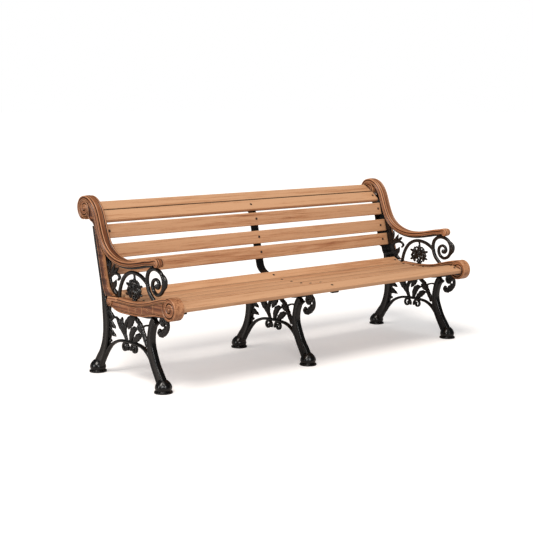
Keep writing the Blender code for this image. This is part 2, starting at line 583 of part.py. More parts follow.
def seat_trim(name, side):
    """Side board outside the iron, a cap over it and a roll in front, cut around the casting."""
    def x_of(inboard):
        return side * (END_X - inboard)

    def between(a, b):
        return sorted((x_of(a), x_of(b)))

    group = helper_group(f"{name}_members")
    roll = arc_points(TRIM_ROLL, TRIM_ROLL_RADIUS, (0, 345), 24)
    helper(f"{name}_roll", plate(f"{name}_roll", roll, *between(-HALF_RAIL, HALF_RAIL)), group)
    cap_line = beside(TRIM_TOP, CAP_DEPTH / 2)
    cap = bar(f"{name}_cap", cap_line, CAP_DEPTH, *between(-HALF_RAIL + 0.0004, HALF_RAIL - 0.0004))
    helper(f"{name}_cap", cap, group)
    boss = arc_points(TRIM_BOSS, TRIM_BOSS_RADIUS, (0, 342), 20)
    helper(f"{name}_boss", plate(f"{name}_boss", boss, *between(-HALF_RAIL + 0.0002, -BOARD_INSIDE)), group)
    outline = np.vstack([beside(TRIM_TOP, 0.0021), TRIM_FOOT])
    made = add(name, plate(name, outline, *between(-HALF_RAIL + 0.0030, -BOARD_INSIDE)), DARK_TIMBER, BENCH)
    boolean(made, "UNION", group)
    cuts = helper_group(f"{name}_cuts")
    for part, low, high, inner in (("scroll", -0.264, -0.184, 0.0092), ("post", 0.065, 0.250, 0.040)):
        slot = [(low, 0.33), (high, 0.33), (high, 0.50), (low, 0.50)]
        cutter = plate(f"{name}_{part}_slot", stretch(slot), *between(-BOARD_INSIDE, inner))
        helper(f"{name}_{part}_slot", cutter, cuts)
    boolean(made, "DIFFERENCE", cuts)


BOARD_INSIDE = WEB / 2 + 0.0025          # the outer boards clear the leaves cast on the post


def back_trim(name, side):
    """Narrow board on the outside of the post, widening to a cheek beside the rail's volute."""
    def between(a, b):
        return sorted((side * (END_X - a), side * (END_X - b)))

    front = [(0.096, 0.410), (0.124, 0.423), (0.146, 0.450), (0.158, 0.485), (0.170, 0.530),
             (0.1815, 0.580), (0.190, 0.620), (0.195, 0.660), (0.215, 0.720), (0.235, 0.780),
             (0.262, 0.830), (0.305, 0.855), (0.338, 0.853)]
    rear = [(0.340, 0.812), (0.318, 0.762), (0.290, 0.757), (0.264, 0.757), (0.251, 0.716),
            (0.233, 0.640), (0.217, 0.570), (0.200, 0.495), (0.186, 0.440), (0.170, 0.4035)]
    outline = np.vstack([smooth(stretch(front), 2), stretch(rear)])
    outside = BOARD_INSIDE + BACK_TRIM_THICKNESS
    made = add(name, plate(name, outline, *between(-outside, -BOARD_INSIDE)), DARK_TIMBER, BENCH)
    cuts = helper_group(f"{name}_cuts")
    wide = between(-outside - 0.01, 0.01)
    clear = RAIL_DEPTH + 4 * GAP
    helper(f"{name}_rail_cut", bar(f"{name}_rail_cut", RAIL_LINE, clear, *wide), cuts)
    disc = arc_points(VOLUTE_DISC, VOLUTE_DISC_RADIUS + 3 * GAP, (2, 347), 24)
    helper(f"{name}_disc_cut", plate(f"{name}_disc_cut", disc, wide[0] - 0.001, wide[1] + 0.001), cuts)
    low = np.vstack([beside(TRIM_TOP, -2 * GAP), stretch([(-0.345, 0.34), (0.22, 0.34), (0.22, 0.404)])])
    helper(f"{name}_trim_cut", plate(f"{name}_trim_cut", low, wide[0] - 0.002, wide[1] + 0.002), cuts)
    boolean(made, "DIFFERENCE", cuts)


# ---- Bolts, their holes, and the slats ----------------------------------------------------------
def bolt_mesh(name, grip):
    """Domed head at z = 0, shank through the slat and the iron, and its nut."""
    return turned(name, [(0.0, BOLT_HEAD_HEIGHT), (0.62 * BOLT_HEAD_RADIUS, 0.78 * BOLT_HEAD_HEIGHT),
                         (BOLT_HEAD_RADIUS, GAP), (BOLT_RADIUS, GAP), (BOLT_RADIUS, -grip - GAP),
                         (NUT_RADIUS, -grip - GAP), (NUT_RADIUS, -grip - NUT_HEIGHT),
                         (0.0, -grip - NUT_HEIGHT)], BOLT_SIDES)


GRIP = SLAT_THICKNESS + STRAP + 2 * GAP
SCREW_DEPTH = 0.014
SCREW = turned("screw", [(0.0, SCREW_DEPTH), (BOLT_RADIUS, SCREW_DEPTH), (BOLT_RADIUS, -STRAP - 2 * GAP),
                         (NUT_RADIUS, -STRAP - 2 * GAP), (NUT_RADIUS, -STRAP - NUT_HEIGHT / 2),
                         (0.0, -STRAP - NUT_HEIGHT * 0.7)], BOLT_SIDES)
shade(SCREW)
DRILL_HALF = 0.045
DRILL = turned("drill", [(0.0, -DRILL_HALF), (BOLT_RADIUS + BOLT_CLEARANCE, -DRILL_HALF),
                         (BOLT_RADIUS + BOLT_CLEARANCE, DRILL_HALF), (0.0, DRILL_HALF)], BOLT_SIDES)
PILOT_RADIUS = BOLT_RADIUS + BOLT_CLEARANCE / 2
PILOT = turned("pilot", [(0.0, -STRAP - 0.004), (PILOT_RADIUS, -STRAP - 0.004),
                         (PILOT_RADIUS, SCREW_DEPTH + 0.001), (0.0, SCREW_DEPTH + 0.001)], BOLT_SIDES)
SCREW_X = CENTRE_LEG_X - WEB / 2 - 0.0075
IRON_DRILLS = {place: helper_group(f"{place}_drills") for place in ("left", "right", "brace", "leg")}
FRAME_BOLTS = {"left": -END_X + BOLT_INSET, "brace": 0.0, "right": END_X - BOLT_INSET}


def slat(name, middle, slope, dip, length, width, bolted=tuple(FRAME_BOLTS), screwed=()):
    """A slat with bolts through it at some frames and screws from below at others, along X."""
    place = Matrix.Translation((0.0, middle[0], middle[1])) @ Matrix.Rotation(slope, 4, "X")
    made = add(name, board(name, length, width), TIMBER, BENCH)
    made.matrix_local = place
    holes = helper_group(f"{name}_holes")
    bolt = bolt_mesh(f"bolt_{name}", GRIP + dip)
    shade(bolt)
    for frame in bolted:
        x = FRAME_BOLTS[frame]
        spot = place @ Matrix.Translation((x, 0.0, SLAT_THICKNESS))
        add(f"bolt_{name}_{frame}", bolt, STEEL, BENCH).matrix_local = spot
        drill = helper(f"drill_{name}_{frame}", DRILL, holes)
        drill.matrix_local = place @ Matrix.Translation((x, 0.0, 0.0))
        IRON_DRILLS[frame].objects.link(drill)
    for frame in screwed:
        x = SCREW_X if frame == "leg" else FRAME_BOLTS[frame]
        spot = place @ Matrix.Translation((x, 0.0, -dip))
        add(f"screw_{name}_{frame}", SCREW, STEEL, BENCH).matrix_local = spot
        pilot = helper(f"pilot_{name}_{frame}", PILOT, holes)
        pilot.matrix_local = spot
        IRON_DRILLS[frame].objects.link(pilot)
    boolean(made, "DIFFERENCE", holes)


SLAT_LENGTH = 2 * (END_X - SLAT_END)
LOW_SLAT_LENGTH = 2 * (END_X - LOW_SLAT_END - 0.0005)
LEG_SCREWED = (1, SEAT_SLATS - 2)      # seat slats that the centre leg is screwed to

for number, place in enumerate(seat_slat_places()):
    leg_screw = ("leg",) if number in LEG_SCREWED else ()
    slat(f"seat_slat_{number + 1}", *place, SLAT_LENGTH, SEAT_SLAT_WIDTH, screwed=leg_screw)
back_places = list(back_slat_places())
for number, place in enumerate(back_places[:-1]):
    slat(f"back_slat_{number + 1}", *place, LOW_SLAT_LENGTH if number < 2 else SLAT_LENGTH, BACK_SLAT_WIDTH)
# The top slat shows no bolt heads: it is screwed on from behind.
slat(f"back_slat_{len(back_places)}", *back_places[-1], SLAT_LENGTH, BACK_SLAT_WIDTH, (), tuple(FRAME_BOLTS))

end_frame("end_frame_left", -1, IRON_DRILLS["left"])
end_frame("end_frame_right", 1, IRON_DRILLS["right"])
centre_leg("centre_leg", IRON_DRILLS["leg"])
centre_brace("centre_brace", IRON_DRILLS["brace"])
for where, side in (("left", -1), ("right", 1)):
    arm_rail(f"arm_rail_{where}", side)
    seat_trim(f"seat_trim_{where}", side)
    back_trim(f"back_trim_{where}", side)
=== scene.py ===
# %% [markdown]
# # A garden bench in cast iron and oiled hardwood
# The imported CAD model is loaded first. It fixes every size and place, and what follows gives the
# bench its looks around it: rounded castings with leaves and scrolls, slats with eased edges, moulded
# arm rails that end in volutes, domed bolts, and the finishes of each. Lengths are in metres.

import math

import bmesh
import bpy
import numpy as np
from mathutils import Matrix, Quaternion, Vector


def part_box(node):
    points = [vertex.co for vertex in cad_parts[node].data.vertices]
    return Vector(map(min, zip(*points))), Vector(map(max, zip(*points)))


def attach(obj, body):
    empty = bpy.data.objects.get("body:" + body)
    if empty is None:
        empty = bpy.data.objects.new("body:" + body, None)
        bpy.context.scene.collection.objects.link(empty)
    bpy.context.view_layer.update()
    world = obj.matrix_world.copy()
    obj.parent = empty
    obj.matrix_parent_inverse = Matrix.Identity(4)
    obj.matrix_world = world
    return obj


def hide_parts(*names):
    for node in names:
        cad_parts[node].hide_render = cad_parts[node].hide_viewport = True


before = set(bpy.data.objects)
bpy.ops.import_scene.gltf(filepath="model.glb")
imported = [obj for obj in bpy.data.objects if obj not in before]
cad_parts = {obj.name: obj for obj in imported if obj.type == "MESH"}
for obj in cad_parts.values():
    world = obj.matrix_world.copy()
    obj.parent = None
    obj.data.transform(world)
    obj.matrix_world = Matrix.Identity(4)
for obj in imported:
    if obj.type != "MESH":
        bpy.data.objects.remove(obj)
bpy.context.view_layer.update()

# %% [markdown]
# Every side piece of the bench was drawn as a pattern in the (y, z) plane of its end frame. The bench
# then stands with the middle of its depth on the origin, so a pattern's y moves by one fixed amount.
# It is measured from the CAD: the front of the seat trim's roll is at y = -0.419 on the pattern.

# %% Where the patterns lie
ROLL_CENTRE, ROLL_RADIUS = np.array([-0.365, 0.407]), 0.054
VOLUTE_CENTRE, VOLUTE_RADIUS = np.array([0.3517, 0.8224]), 0.0395
NOSE_CENTRE, NOSE_RADIUS = np.array([-0.2505, 0.6080]), 0.0150
SHIFT = float(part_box("seat_trim_left")[0][1]) - (ROLL_CENTRE[0] - ROLL_RADIUS)
RAIL_OUTSIDE = float(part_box("arm_rail_right")[1][0])
RAIL_HALF = (RAIL_OUTSIDE - float(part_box("arm_rail_right")[0][0])) / 2
END_X = RAIL_OUTSIDE - RAIL_HALF
SIDES = ((-1, "left"), (1, "right"))
LEG_X = float(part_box("centre_leg")[0][0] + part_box("centre_leg")[1][0]) / 2
print(f"pattern shift {SHIFT * 1000:.2f} mm, end frames at x = +-{END_X:.4f}, centre leg at {LEG_X:.4f}")

# %% [markdown]
# Curves come first. A casting's scrolls were carved by eye through a few chosen places, which a
# Catmull-Rom curve does well: it passes through every point with a smooth direction. Iron bars bent at
# a forge are straight runs joined by arcs, so they get their own function.

# %% Curves in the (y, z) plane
BACK_LEAN, BED_HEIGHT, BACK_RUN, PATTERN_RUN = math.radians(13.4), 0.378, 0.311, 0.308


def mm(places):
    """Millimetres, in lists to any depth, turned to metres."""
    return [mm(place) for place in places] if isinstance(places, (list, tuple)) else places / 1000


def smooth(points, steps=10):
    """Catmull-Rom curve: between b and c it is half of 2b + (c-a)t + (2a-5b+4c-d)t^2 + (3b-a-3c+d)t^3.

    The pattern was drawn for a back 3 mm shorter, so above the seat it is drawn out along the lean.
    """
    p = np.array(points, float)
    p = np.vstack([2 * p[0] - p[1], p, 2 * p[-1] - p[-2]])
    a, b, c, d = (p[k:len(p) - 3 + k, None] for k in range(4))
    t = (np.arange(steps) / steps)[None, :, None]
    curve = (2 * b + (c - a) * t + (2 * a - 5 * b + 4 * c - d) * t**2 + (3 * b - a - 3 * c + d) * t**3) / 2
    curve = np.vstack([curve.reshape(-1, p.shape[1]), p[-2]])
    share = np.clip((curve[:, 1] - BED_HEIGHT) / (PATTERN_RUN * math.cos(BACK_LEAN)), 0, 1)
    up = share * (BACK_RUN - PATTERN_RUN)
    curve[:, 0] += up * math.sin(BACK_LEAN)
    curve[:, 1] += up * math.cos(BACK_LEAN)
    return curve


def normals(path):
    """The path's direction turned a quarter to the left, at unit length."""
    along = np.gradient(path[:, :2], axis=0)
    along /= np.linalg.norm(along, axis=1, keepdims=True)
    return np.column_stack([-along[:, 1], along[:, 0]])


def lengths(path):
    """Distance along the path to each of its points."""
    return np.concatenate([[0], np.linalg.norm(np.diff(path[:, :2], axis=0), axis=1).cumsum()])


def beside(path, distance):
    """A path at a fixed distance to the left of another."""
    return path[:, :2] + normals(path) * distance


def spiral(centre, radii, degrees, steps=60):
    """Turns about a centre while the radius goes evenly from the first value to the second."""
    a, r = np.radians(np.linspace(*degrees, steps)), np.linspace(*radii, steps)
    return np.column_stack([centre[0] + r * np.cos(a), centre[1] + r * np.sin(a)])


def bent(corners, steps=12):
    """Straight runs through (y, z, radius) corners, each rounded by an arc that touches both runs."""
    path = [np.array(corners[0][:2], float)]
    for before, corner, after in zip(corners[:-2], corners[1:-1], corners[2:]):
        tip = np.array(corner[:2], float)
        back, on = np.array(before[:2]) - tip, np.array(after[:2]) - tip
        back, on = back / np.linalg.norm(back), on / np.linalg.norm(on)
        half = math.acos(float(back @ on)) / 2
        centre = tip + (back + on) / np.linalg.norm(back + on) * corner[2] / math.sin(half)
        start = tip + back * corner[2] / math.tan(half) - centre
        end = tip + on * corner[2] / math.tan(half) - centre
        turn = math.atan2(start[0] * end[1] - start[1] * end[0], float(start @ end))
        a = turn * np.arange(steps + 1) / steps
        path += list(centre + np.column_stack([start[0] * np.cos(a) - start[1] * np.sin(a),
                                               start[0] * np.sin(a) + start[1] * np.cos(a)]))
    return np.array(path + [np.array(corners[-1][:2], float)])


def part_of(path, start, end, step=0.004):
    """The stretch between two distances along a path, with even steps."""
    s, wanted = lengths(path), np.linspace(start, end, max(3, int((end - start) / step)))
    return np.column_stack([np.interp(wanted, s, path[:, 0]), np.interp(wanted, s, path[:, 1])])


print(f"the back leans {math.degrees(BACK_LEAN):.1f} degrees and is {BACK_RUN * 1000:.0f} mm long")

# %% [markdown]
# Nearly every piece is a profile carried along one of those curves. The profile is a closed loop with
# two coordinates: across the path, in the pattern's plane, and out of the plane, along X. A shell is
# the resulting grid of points with its faces, plus a grain coordinate for each point: how far along
# the piece it lies, and where in its section, so that timber can show grain that follows the bend.

# %% Profiles and the surface that carries them
def rounded_profile(power, count=28):
    """Superellipse: |across|^power + |out|^power = 1. Power 2 is round, and 8 is nearly square."""
    v = np.linspace(0, 2 * np.pi, count, endpoint=False) + np.pi / count
    c, s = np.cos(v), np.sin(v)
    r = (np.abs(c)**power + np.abs(s)**power)**(-1 / power)
    return np.column_stack([c * r, s * r])


def grid_faces(rings, count):
    """Quads between neighbouring rings, and round each ring back to its first point."""
    i, j = np.meshgrid(np.arange(rings - 1), np.arange(count), indexing="ij")
    k = (j + 1) % count
    corners = [i * count + j, i * count + k, (i + 1) * count + k, (i + 1) * count + j]
    return np.stack(corners, -1).reshape(-1, 4)


def closed(rings, grain):
    """A shell from a stack of rings, with both ends drawn in to their middles."""
    ends = [a.mean(axis=1, keepdims=True).repeat(rings.shape[1], 1) for a in
            (rings[:1], rings[-1:], grain[:1], grain[-1:])]
    rings = np.concatenate([ends[0], rings, ends[1]])
    grain = np.concatenate([ends[2], grain, ends[3]])
    return rings.reshape(-1, 3), grid_faces(*rings.shape[:2]), grain.reshape(-1, 3)


def swept(path, across, out):
    """point = path + normal * across + X * out, with one row of across and out for each station."""
    side = normals(path)
    return np.stack([out, path[:, None, 0] + SHIFT + side[:, None, 0] * across,
                     path[:, None, 1] + side[:, None, 1] * across], -1)


def carried(path, profile, width, depth, x_middle, ends=(0.0, 0.0)):
    """The profile swept at half the width and half the depth, about x_middle.

    An end with a length e is rounded: the station at angle a lies e sin(a) past the end, and is
    smaller by cos(a).
    """
    path = np.array(path[:, :2])
    width, depth, x_middle = (np.broadcast_to(v, len(path)).astype(float) for v in (width, depth, x_middle))
    a = np.linspace(0, np.pi / 2, 7)[1:]
    for end in (0, -1):
        if not ends[end]:
            continue
        way = path[0] - path[1] if end == 0 else path[-1] - path[-2]
        more = path[end] + way / np.linalg.norm(way) * ends[end] * np.sin(a)[:, None]
        small = np.maximum(np.cos(a), 0.02)
        grown = [(path, more), (width, width[end] * small), (depth, depth[end] * small),
                 (x_middle, x_middle[end] + 0 * a)]
        path, width, depth, x_middle = (np.concatenate([new[::-1], old] if end == 0 else [old, new])
                                        for old, new in grown)
    across = profile[None, :, 0] * width[:, None] / 2
    out = profile[None, :, 1] * depth[:, None] / 2
    rings = swept(path, across, x_middle[:, None] + out)
    grain = np.stack([lengths(path)[:, None] + 0 * out, across, out], -1)
    return closed(rings, grain)


# %% [markdown]
# A finished piece is one mesh made of such shells. Its points stay where the pattern put them, so the
# object itself sits at the origin. Doubled points at seams and poles are merged, faces are turned
# outwards, and edges under 40 degrees are shaded smooth. The tone of each point is lowered where its
# neighbours stand above its tangent plane, which paints shade into the hollows, and raised on ridges.

# %% From shells to a piece of the bench
def read(items, key, width=3, kind=float):
    """One property of every item, such as each vertex's place, as an array."""
    values = np.empty(len(items) * width, kind)
    items.foreach_get(key, values)
    return values.reshape(-1, width)


def hollowness(mesh):
    """Height of a point's neighbours over its tangent plane, as a share of their distance, smoothed."""
    count = len(mesh.vertices)
    place, normal = read(mesh.vertices, "co"), read(mesh.vertices, "normal")
    a, b = read(mesh.edges, "vertices", 2, int).T
    step = place[b] - place[a]
    size = np.linalg.norm(step, axis=1) + 1e-9
    near = np.bincount(a, minlength=count) + np.bincount(b, minlength=count)
    rise = (np.bincount(a, (step * normal[a]).sum(1) / size, count)
            - np.bincount(b, (step * normal[b]).sum(1) / size, count)) / near
    for _ in range(2):
        rise = 0.5 * rise + 0.5 * (np.bincount(a, rise[b], count) + np.bincount(b, rise[a], count)) / near
    return np.clip(rise, -0.3, 0.3)


def in_scene(name, data):
    """A new object in the scene, from a mesh, a light or a camera."""
    made = bpy.data.objects.new(name, data)
    bpy.context.scene.collection.objects.link(made)
    return made


def piece(name, shells, finish, slot, *nodes, tone=0.0, grain_start=0.0):
    """Joins shells in one object that stands for the named CAD nodes."""
    starts = np.cumsum([0] + [len(shell[0]) for shell in shells[:-1]])
    points = np.concatenate([shell[0] for shell in shells])
    faces = np.concatenate([shell[1] + start for shell, start in zip(shells, starts)])
    grain = np.concatenate([shell[2] for shell in shells]) + [grain_start, 0.13 * grain_start, 0.0]
    mesh = bpy.data.meshes.new(name)
    mesh.from_pydata(points.tolist(), [], faces.tolist())
    mesh.attributes.new("grain", "FLOAT_VECTOR", "POINT").data.foreach_set("vector", grain.ravel())
    shape = bmesh.new()
    shape.from_mesh(mesh)
    bmesh.ops.remove_doubles(shape, verts=shape.verts, dist=2e-6)
    bmesh.ops.recalc_face_normals(shape, faces=shape.faces)
    shape.to_mesh(mesh)
    shape.free()
    # tone: the board's own tone less 2.2 times the hollowness, so painted shade in hollows and lighter
    # ridges.
    mesh.attributes.new("tone", "FLOAT", "POINT").data.foreach_set("value", tone - 2.2 * hollowness(mesh))
    mesh.shade_smooth()
    mesh.set_sharp_from_angle(angle=math.radians(40))
    mesh.materials.append(finish)
    made = in_scene(name, mesh)
    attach(made, "root")
    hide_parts(*nodes)
    return made


# %% [markdown]
# Colours are given as the sRGB hex values that a colour picker shows, and a shader works in linear
# light, so one function turns one into the other. Another adds a node with its settings and links.

# %% Colour and node helpers
def linear(hex_colour):
    """sRGB to linear: c / 12.92 below 0.04045, and ((c + 0.055) / 1.055)^2.4 above."""
    c = np.array([int(hex_colour[k:k + 2], 16) for k in (1, 3, 5)]) / 255
    return (*np.where(c <= 0.04045, c / 12.92, ((c + 0.055) / 1.055)**2.4), 1.0)


def node(tree, kind, settings=None, links=None, **values):
    """A node with its settings, its input values by name, and its links {input: output socket}."""
    made = tree.nodes.new(kind)
    for key, value in (settings or {}).items():
        setattr(made, key, value)
    for key, value in values.items():
        made.inputs[key.replace("_", " ")].default_value = value
    for key, socket in (links or {}).items():
        tree.links.new(socket, made.inputs[key])
    return made


def new_material(name, **values):
    """A material with its node tree and its Principled shader, whose inputs take the values by name."""
    material = bpy.data.materials.new(name)
    material.use_nodes = True
    shader = material.node_tree.nodes["Principled BSDF"]
    for key, value in values.items():
        shader.inputs[key.replace("_", " ")].default_value = value
    return material, material.node_tree, shader


def ramp(tree, source, stops):
    """Colours by hex at places from 0 to 1, read at the source's value."""
    made = node(tree, "ShaderNodeValToRGB", links={"Fac": source})
    while len(made.color_ramp.elements) < len(stops):
        made.color_ramp.elements.new(0.5)
    for element, (place, colour) in zip(made.color_ramp.elements, stops):
        element.position, element.color = place, linear(colour)
    return made.outputs["Color"]


# %% [markdown]
# Oiled hardwood has three scales of pattern: broad bands of heartwood a few centimetres wide that run
# most of a board's length, streaks of a few millimetres, and short dark pores under a millimetre wide.
# Each is a noise stretched along the grain. The oil leaves a satin sheen that varies with the streaks,
# and each board takes its own tone from the mesh, which also carries the painted shade of its hollows.
# Corners are darkened with painted shade where ambient occlusion finds them: it measures how open the
# air is within 16 mm of a point.

# %% Hardwood
def noise(tree, vector, along, across, detail, rough=0.5, distort=0.0):
    """Noise with `along` and `across` cycles per metre."""
    stretched = node(tree, "ShaderNodeMapping", links={"Vector": vector}, Scale=(along, across, across))
    return node(tree, "ShaderNodeTexNoise", links={"Vector": stretched.outputs["Vector"]}, Scale=1.0,
                Detail=detail, Roughness=rough, Distortion=distort).outputs["Fac"]


def maths(tree, operation, a, b):
    """One sum on two values, each a number or a socket."""
    made = node(tree, "ShaderNodeMath", {"operation": operation})
    for socket, value in zip(made.inputs, (a, b)):
        if isinstance(value, bpy.types.NodeSocket):
            tree.links.new(value, socket)
        else:
            socket.default_value = value
    return made.outputs["Value"]


def hardwood(name, stops, roughness):
    """Timber whose colour goes through the stops, dark to light, by bands + streaks + tone - pores, with
    painted shade in corners.
    """
    material, tree, shader = new_material(name, Coat_Weight=0.12, Coat_Roughness=0.3)
    grain = node(tree, "ShaderNodeAttribute", {"attribute_name": "grain"}).outputs["Vector"]
    tone = node(tree, "ShaderNodeAttribute", {"attribute_name": "tone"}).outputs["Fac"]
    bands = noise(tree, grain, 1.1, 38, 3, 0.55, 0.4)
    streaks = noise(tree, grain, 5, 170, 5, 0.7, 0.2)
    pores = noise(tree, grain, 40, 1500, 2)
    mixed = maths(tree, "ADD", maths(tree, "MULTIPLY", bands, 0.42), maths(tree, "MULTIPLY", streaks, 0.62))
    # The tone attribute holds the board's own tone and the painted shade of its hollows.
    mixed = maths(tree, "ADD", mixed, tone)
    dark_pores = maths(tree, "MULTIPLY", maths(tree, "GREATER_THAN", pores, 0.62), 0.05)
    colour = ramp(tree, maths(tree, "SUBTRACT", mixed, dark_pores), stops)
    # Painted shade: the base colour is multiplied by a factor that falls towards 0.06 where ambient occlusion
    # finds a corner.
    corner = node(tree, "ShaderNodeAmbientOcclusion", {"samples": 8}, Distance=0.016).outputs["AO"]
    painted_corner_shade = node(tree, "ShaderNodeMapRange", links={"Value": corner}, From_Min=0.30, From_Max=0.95,
                    To_Min=0.06, To_Max=1.0).outputs["Result"]
    shaded = node(tree, "ShaderNodeMix", {"data_type": "RGBA", "blend_type": "MULTIPLY"})
    shaded.inputs["Factor"].default_value = 1.0
    tree.links.new(colour, shaded.inputs[6])
    tree.links.new(painted_corner_shade, shaded.inputs[7])
    tree.links.new(shaded.outputs[2], shader.inputs["Base Color"])
    dull = node(tree, "ShaderNodeMapRange", links={"Value": streaks}, To_Min=roughness - 0.05,
                To_Max=roughness + 0.08)
    tree.links.new(dull.outputs["Result"], shader.inputs["Roughness"])
    relief = maths(tree, "ADD", maths(tree, "MULTIPLY", streaks, 0.5), maths(tree, "MULTIPLY", pores, 0.5))
    bump = node(tree, "ShaderNodeBump", links={"Height": relief}, Strength=0.35, Distance=0.0004)
    tree.links.new(bump.outputs["Normal"], shader.inputs["Normal"])
    return material


slat_wood = hardwood("oiled_hardwood", [(0.40, "#5a2f18"), (0.48, "#935a3a"), (0.56, "#b27a52"),
                                        (0.68, "#cf9e76")], 0.45)
# The moulding's darkest stops show in its coves, where painted shade lowers the tone.
rail_wood = hardwood("oiled_hardwood_moulding", [(0.24, "#1e0d05"), (0.40, "#572d17"), (0.52, "#86502e"),
                                                 (0.68, "#c58c63")], 0.36)
print("hardwood", slat_wood.name, rail_wood.name)

# %% [markdown]
# The iron was cast in sand and painted black. Sand leaves grain of about a millimetre that paint only
# half fills, and the paint is a semi-gloss. Both scales are bumps, which catch the light as the real
# surface does. The bolts are smoother steel, in a browner coat.

# %% Black iron
def painted_iron(name, colour, roughness, sand):
    """Paint over sand-cast metal: `sand` is how strongly the grains and lumps show."""
    material, tree, shader = new_material(name, Specular_IOR_Level=0.6)
    place = node(tree, "ShaderNodeTexCoord").outputs["Object"]
    grains = noise(tree, place, 900, 900, 3)
    lumps = noise(tree, place, 90, 90, 2)
    relief = maths(tree, "ADD", maths(tree, "MULTIPLY", grains, 0.35), lumps)
    bump = node(tree, "ShaderNodeBump", links={"Height": relief}, Strength=sand, Distance=0.0009)
    tree.links.new(bump.outputs["Normal"], shader.inputs["Normal"])
    tree.links.new(ramp(tree, lumps, colour), shader.inputs["Base Color"])
    dull = node(tree, "ShaderNodeMapRange", links={"Value": lumps}, To_Min=roughness - 0.08,
                To_Max=roughness + 0.1)
    tree.links.new(dull.outputs["Result"], shader.inputs["Roughness"])
    return material


iron = painted_iron("black_cast_iron", [(0.35, "#030303"), (0.7, "#080707")], 0.25, 0.12)
steel = painted_iron("black_bolt_steel", [(0.35, "#2a1a12"), (0.7, "#3d291d")], 0.34, 0.15)

# %% [markdown]
# A slat is a plain sawn board with its long edges eased by a small radius. Where each lies, and how
# much it tilts, is measured from its CAD node: the corners of one end face give the middle, and the
# direction in which they spread the most is the board's width.

# %% Slats
def end_corners(name):
    """Middle, width and thickness directions, width and thickness of a slat's end, from its CAD node."""
    points = read(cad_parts[name].data.vertices, "co")
    end = np.unique(points[points[:, 0] < points[:, 0].min() + 1e-4][:, 1:].round(6), axis=0)
    middle = (end.min(axis=0) + end.max(axis=0)) / 2
    across = np.linalg.svd(end - middle)[2][0]
    across *= np.sign(across[0] + across[1])
    up = np.array([-across[1], across[0]])
    return middle, across, up, np.ptp(end @ across), np.ptp(end @ up)


def board(name, ease=0.0035):
    """A rounded rectangle carried along X: its corners are quarter circles of radius `ease`."""
    middle, across, up, width, thick = end_corners(name)
    a = np.radians(np.linspace(0, 90, 5))
    corner = np.column_stack([np.cos(a), np.sin(a)]) * ease
    turned = [corner, np.column_stack([-corner[::-1, 0], corner[::-1, 1]]), -corner,
              np.column_stack([corner[::-1, 0], -corner[::-1, 1]])]
    signs = [(1, 1), (-1, 1), (-1, -1), (1, -1)]
    reach = np.array([width / 2 - ease, thick / 2 - ease])
    loop = np.vstack([part + reach * sign for part, sign in zip(turned, signs)])
    low, high = float(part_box(name)[0][0]), float(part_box(name)[1][0])
    x = np.concatenate([[low, low + 0.001], np.linspace(low + 0.003, high - 0.003, 90), [high - 0.001, high]])
    inset = np.ones(len(x))
    inset[[0, -1]] = 0.93
    size = loop[None] * inset[:, None, None]
    yz = middle + size[..., :1] * across + size[..., 1:] * up
    rings = np.concatenate([np.broadcast_to(x[:, None, None], (*yz.shape[:2], 1)), yz], -1)
    grain = np.concatenate([rings[..., :1], size], -1)
    return closed(rings, grain)


slats = sorted(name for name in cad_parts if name.startswith(("seat_slat", "back_slat")))
# How much lighter or darker than the mean each board is, from back_slat_1 on.
TONES = (-0.02, 0.03, 0.0, 0.05, 0.02, 0.05, -0.02, 0.03, 0.0, 0.04, -0.01, 0.02)
for number, (name, tone) in enumerate(zip(slats, TONES)):
    piece(name + "_board", [board(name)], slat_wood, "slat_timber", name, tone=tone, grain_start=3.7 * number)
print(len(slats), "slats")

# %% [markdown]
# Each carriage bolt has a low domed head, a shank and a hexagon nut. It is turned about its own axis,
# which the CAD bolt gives: its points spread furthest along the shank, and the head is the wider end.

# %% Bolts and screws
def turned(name, profile, sides):
    """A profile of (radius, height) turned about the axis of a CAD node, its height from the head."""
    points = np.unique(read(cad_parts[name].data.vertices, "co").round(6), axis=0)
    middle = (points.min(axis=0) + points.max(axis=0)) / 2
    axis = np.linalg.svd(points - points.mean(axis=0))[2][0]
    height = (points - middle) @ axis
    spread = np.linalg.norm((points - middle) - height[:, None] * axis, axis=1)
    if spread[height > 0].max() <= spread[height < 0].max():
        axis, height = -axis, -height
    top = middle + axis * height.max()
    first = np.cross(axis, [1.0, 0.0, 0.0])
    first /= np.linalg.norm(first)
    second = np.cross(axis, first)
    v = np.linspace(0, 2 * np.pi, sides, endpoint=False)
    r, h = profile(v, float(np.ptp(height)))
    outward = np.cos(v)[:, None] * first + np.sin(v)[:, None] * second
    rings = top + r[..., None] * outward - h[..., None] * axis
    return closed(rings, rings)


def carriage_bolt(v, total, head=0.0068, rise=0.0033, shank=0.003, nut=0.0062, nut_height=0.005):
    """Radius and depth below the top: a dome, the shank, then a nut whose flats make a hexagon."""
    a = np.radians(np.linspace(4, 90, 8))
    flats = np.cos(np.pi / 6) / np.cos((v + np.pi / 6) % (np.pi / 3) - np.pi / 6)
    under = total - nut_height
    r = [*(head * np.sin(a)), head * 0.985, shank, shank] + [nut * 0.9, nut, nut, nut * 0.9]
    h = [*(rise * (1 - np.cos(a))), rise + 0.0001, rise + 0.0001, under + 0.0001]
    h += [under + 0.0001, under + 0.0006, total - 0.0006, total]
    r, h = np.array(r)[:, None] + 0 * v, np.array(h)[:, None] + 0 * v
    r[-4:] *= flats
    return r, h


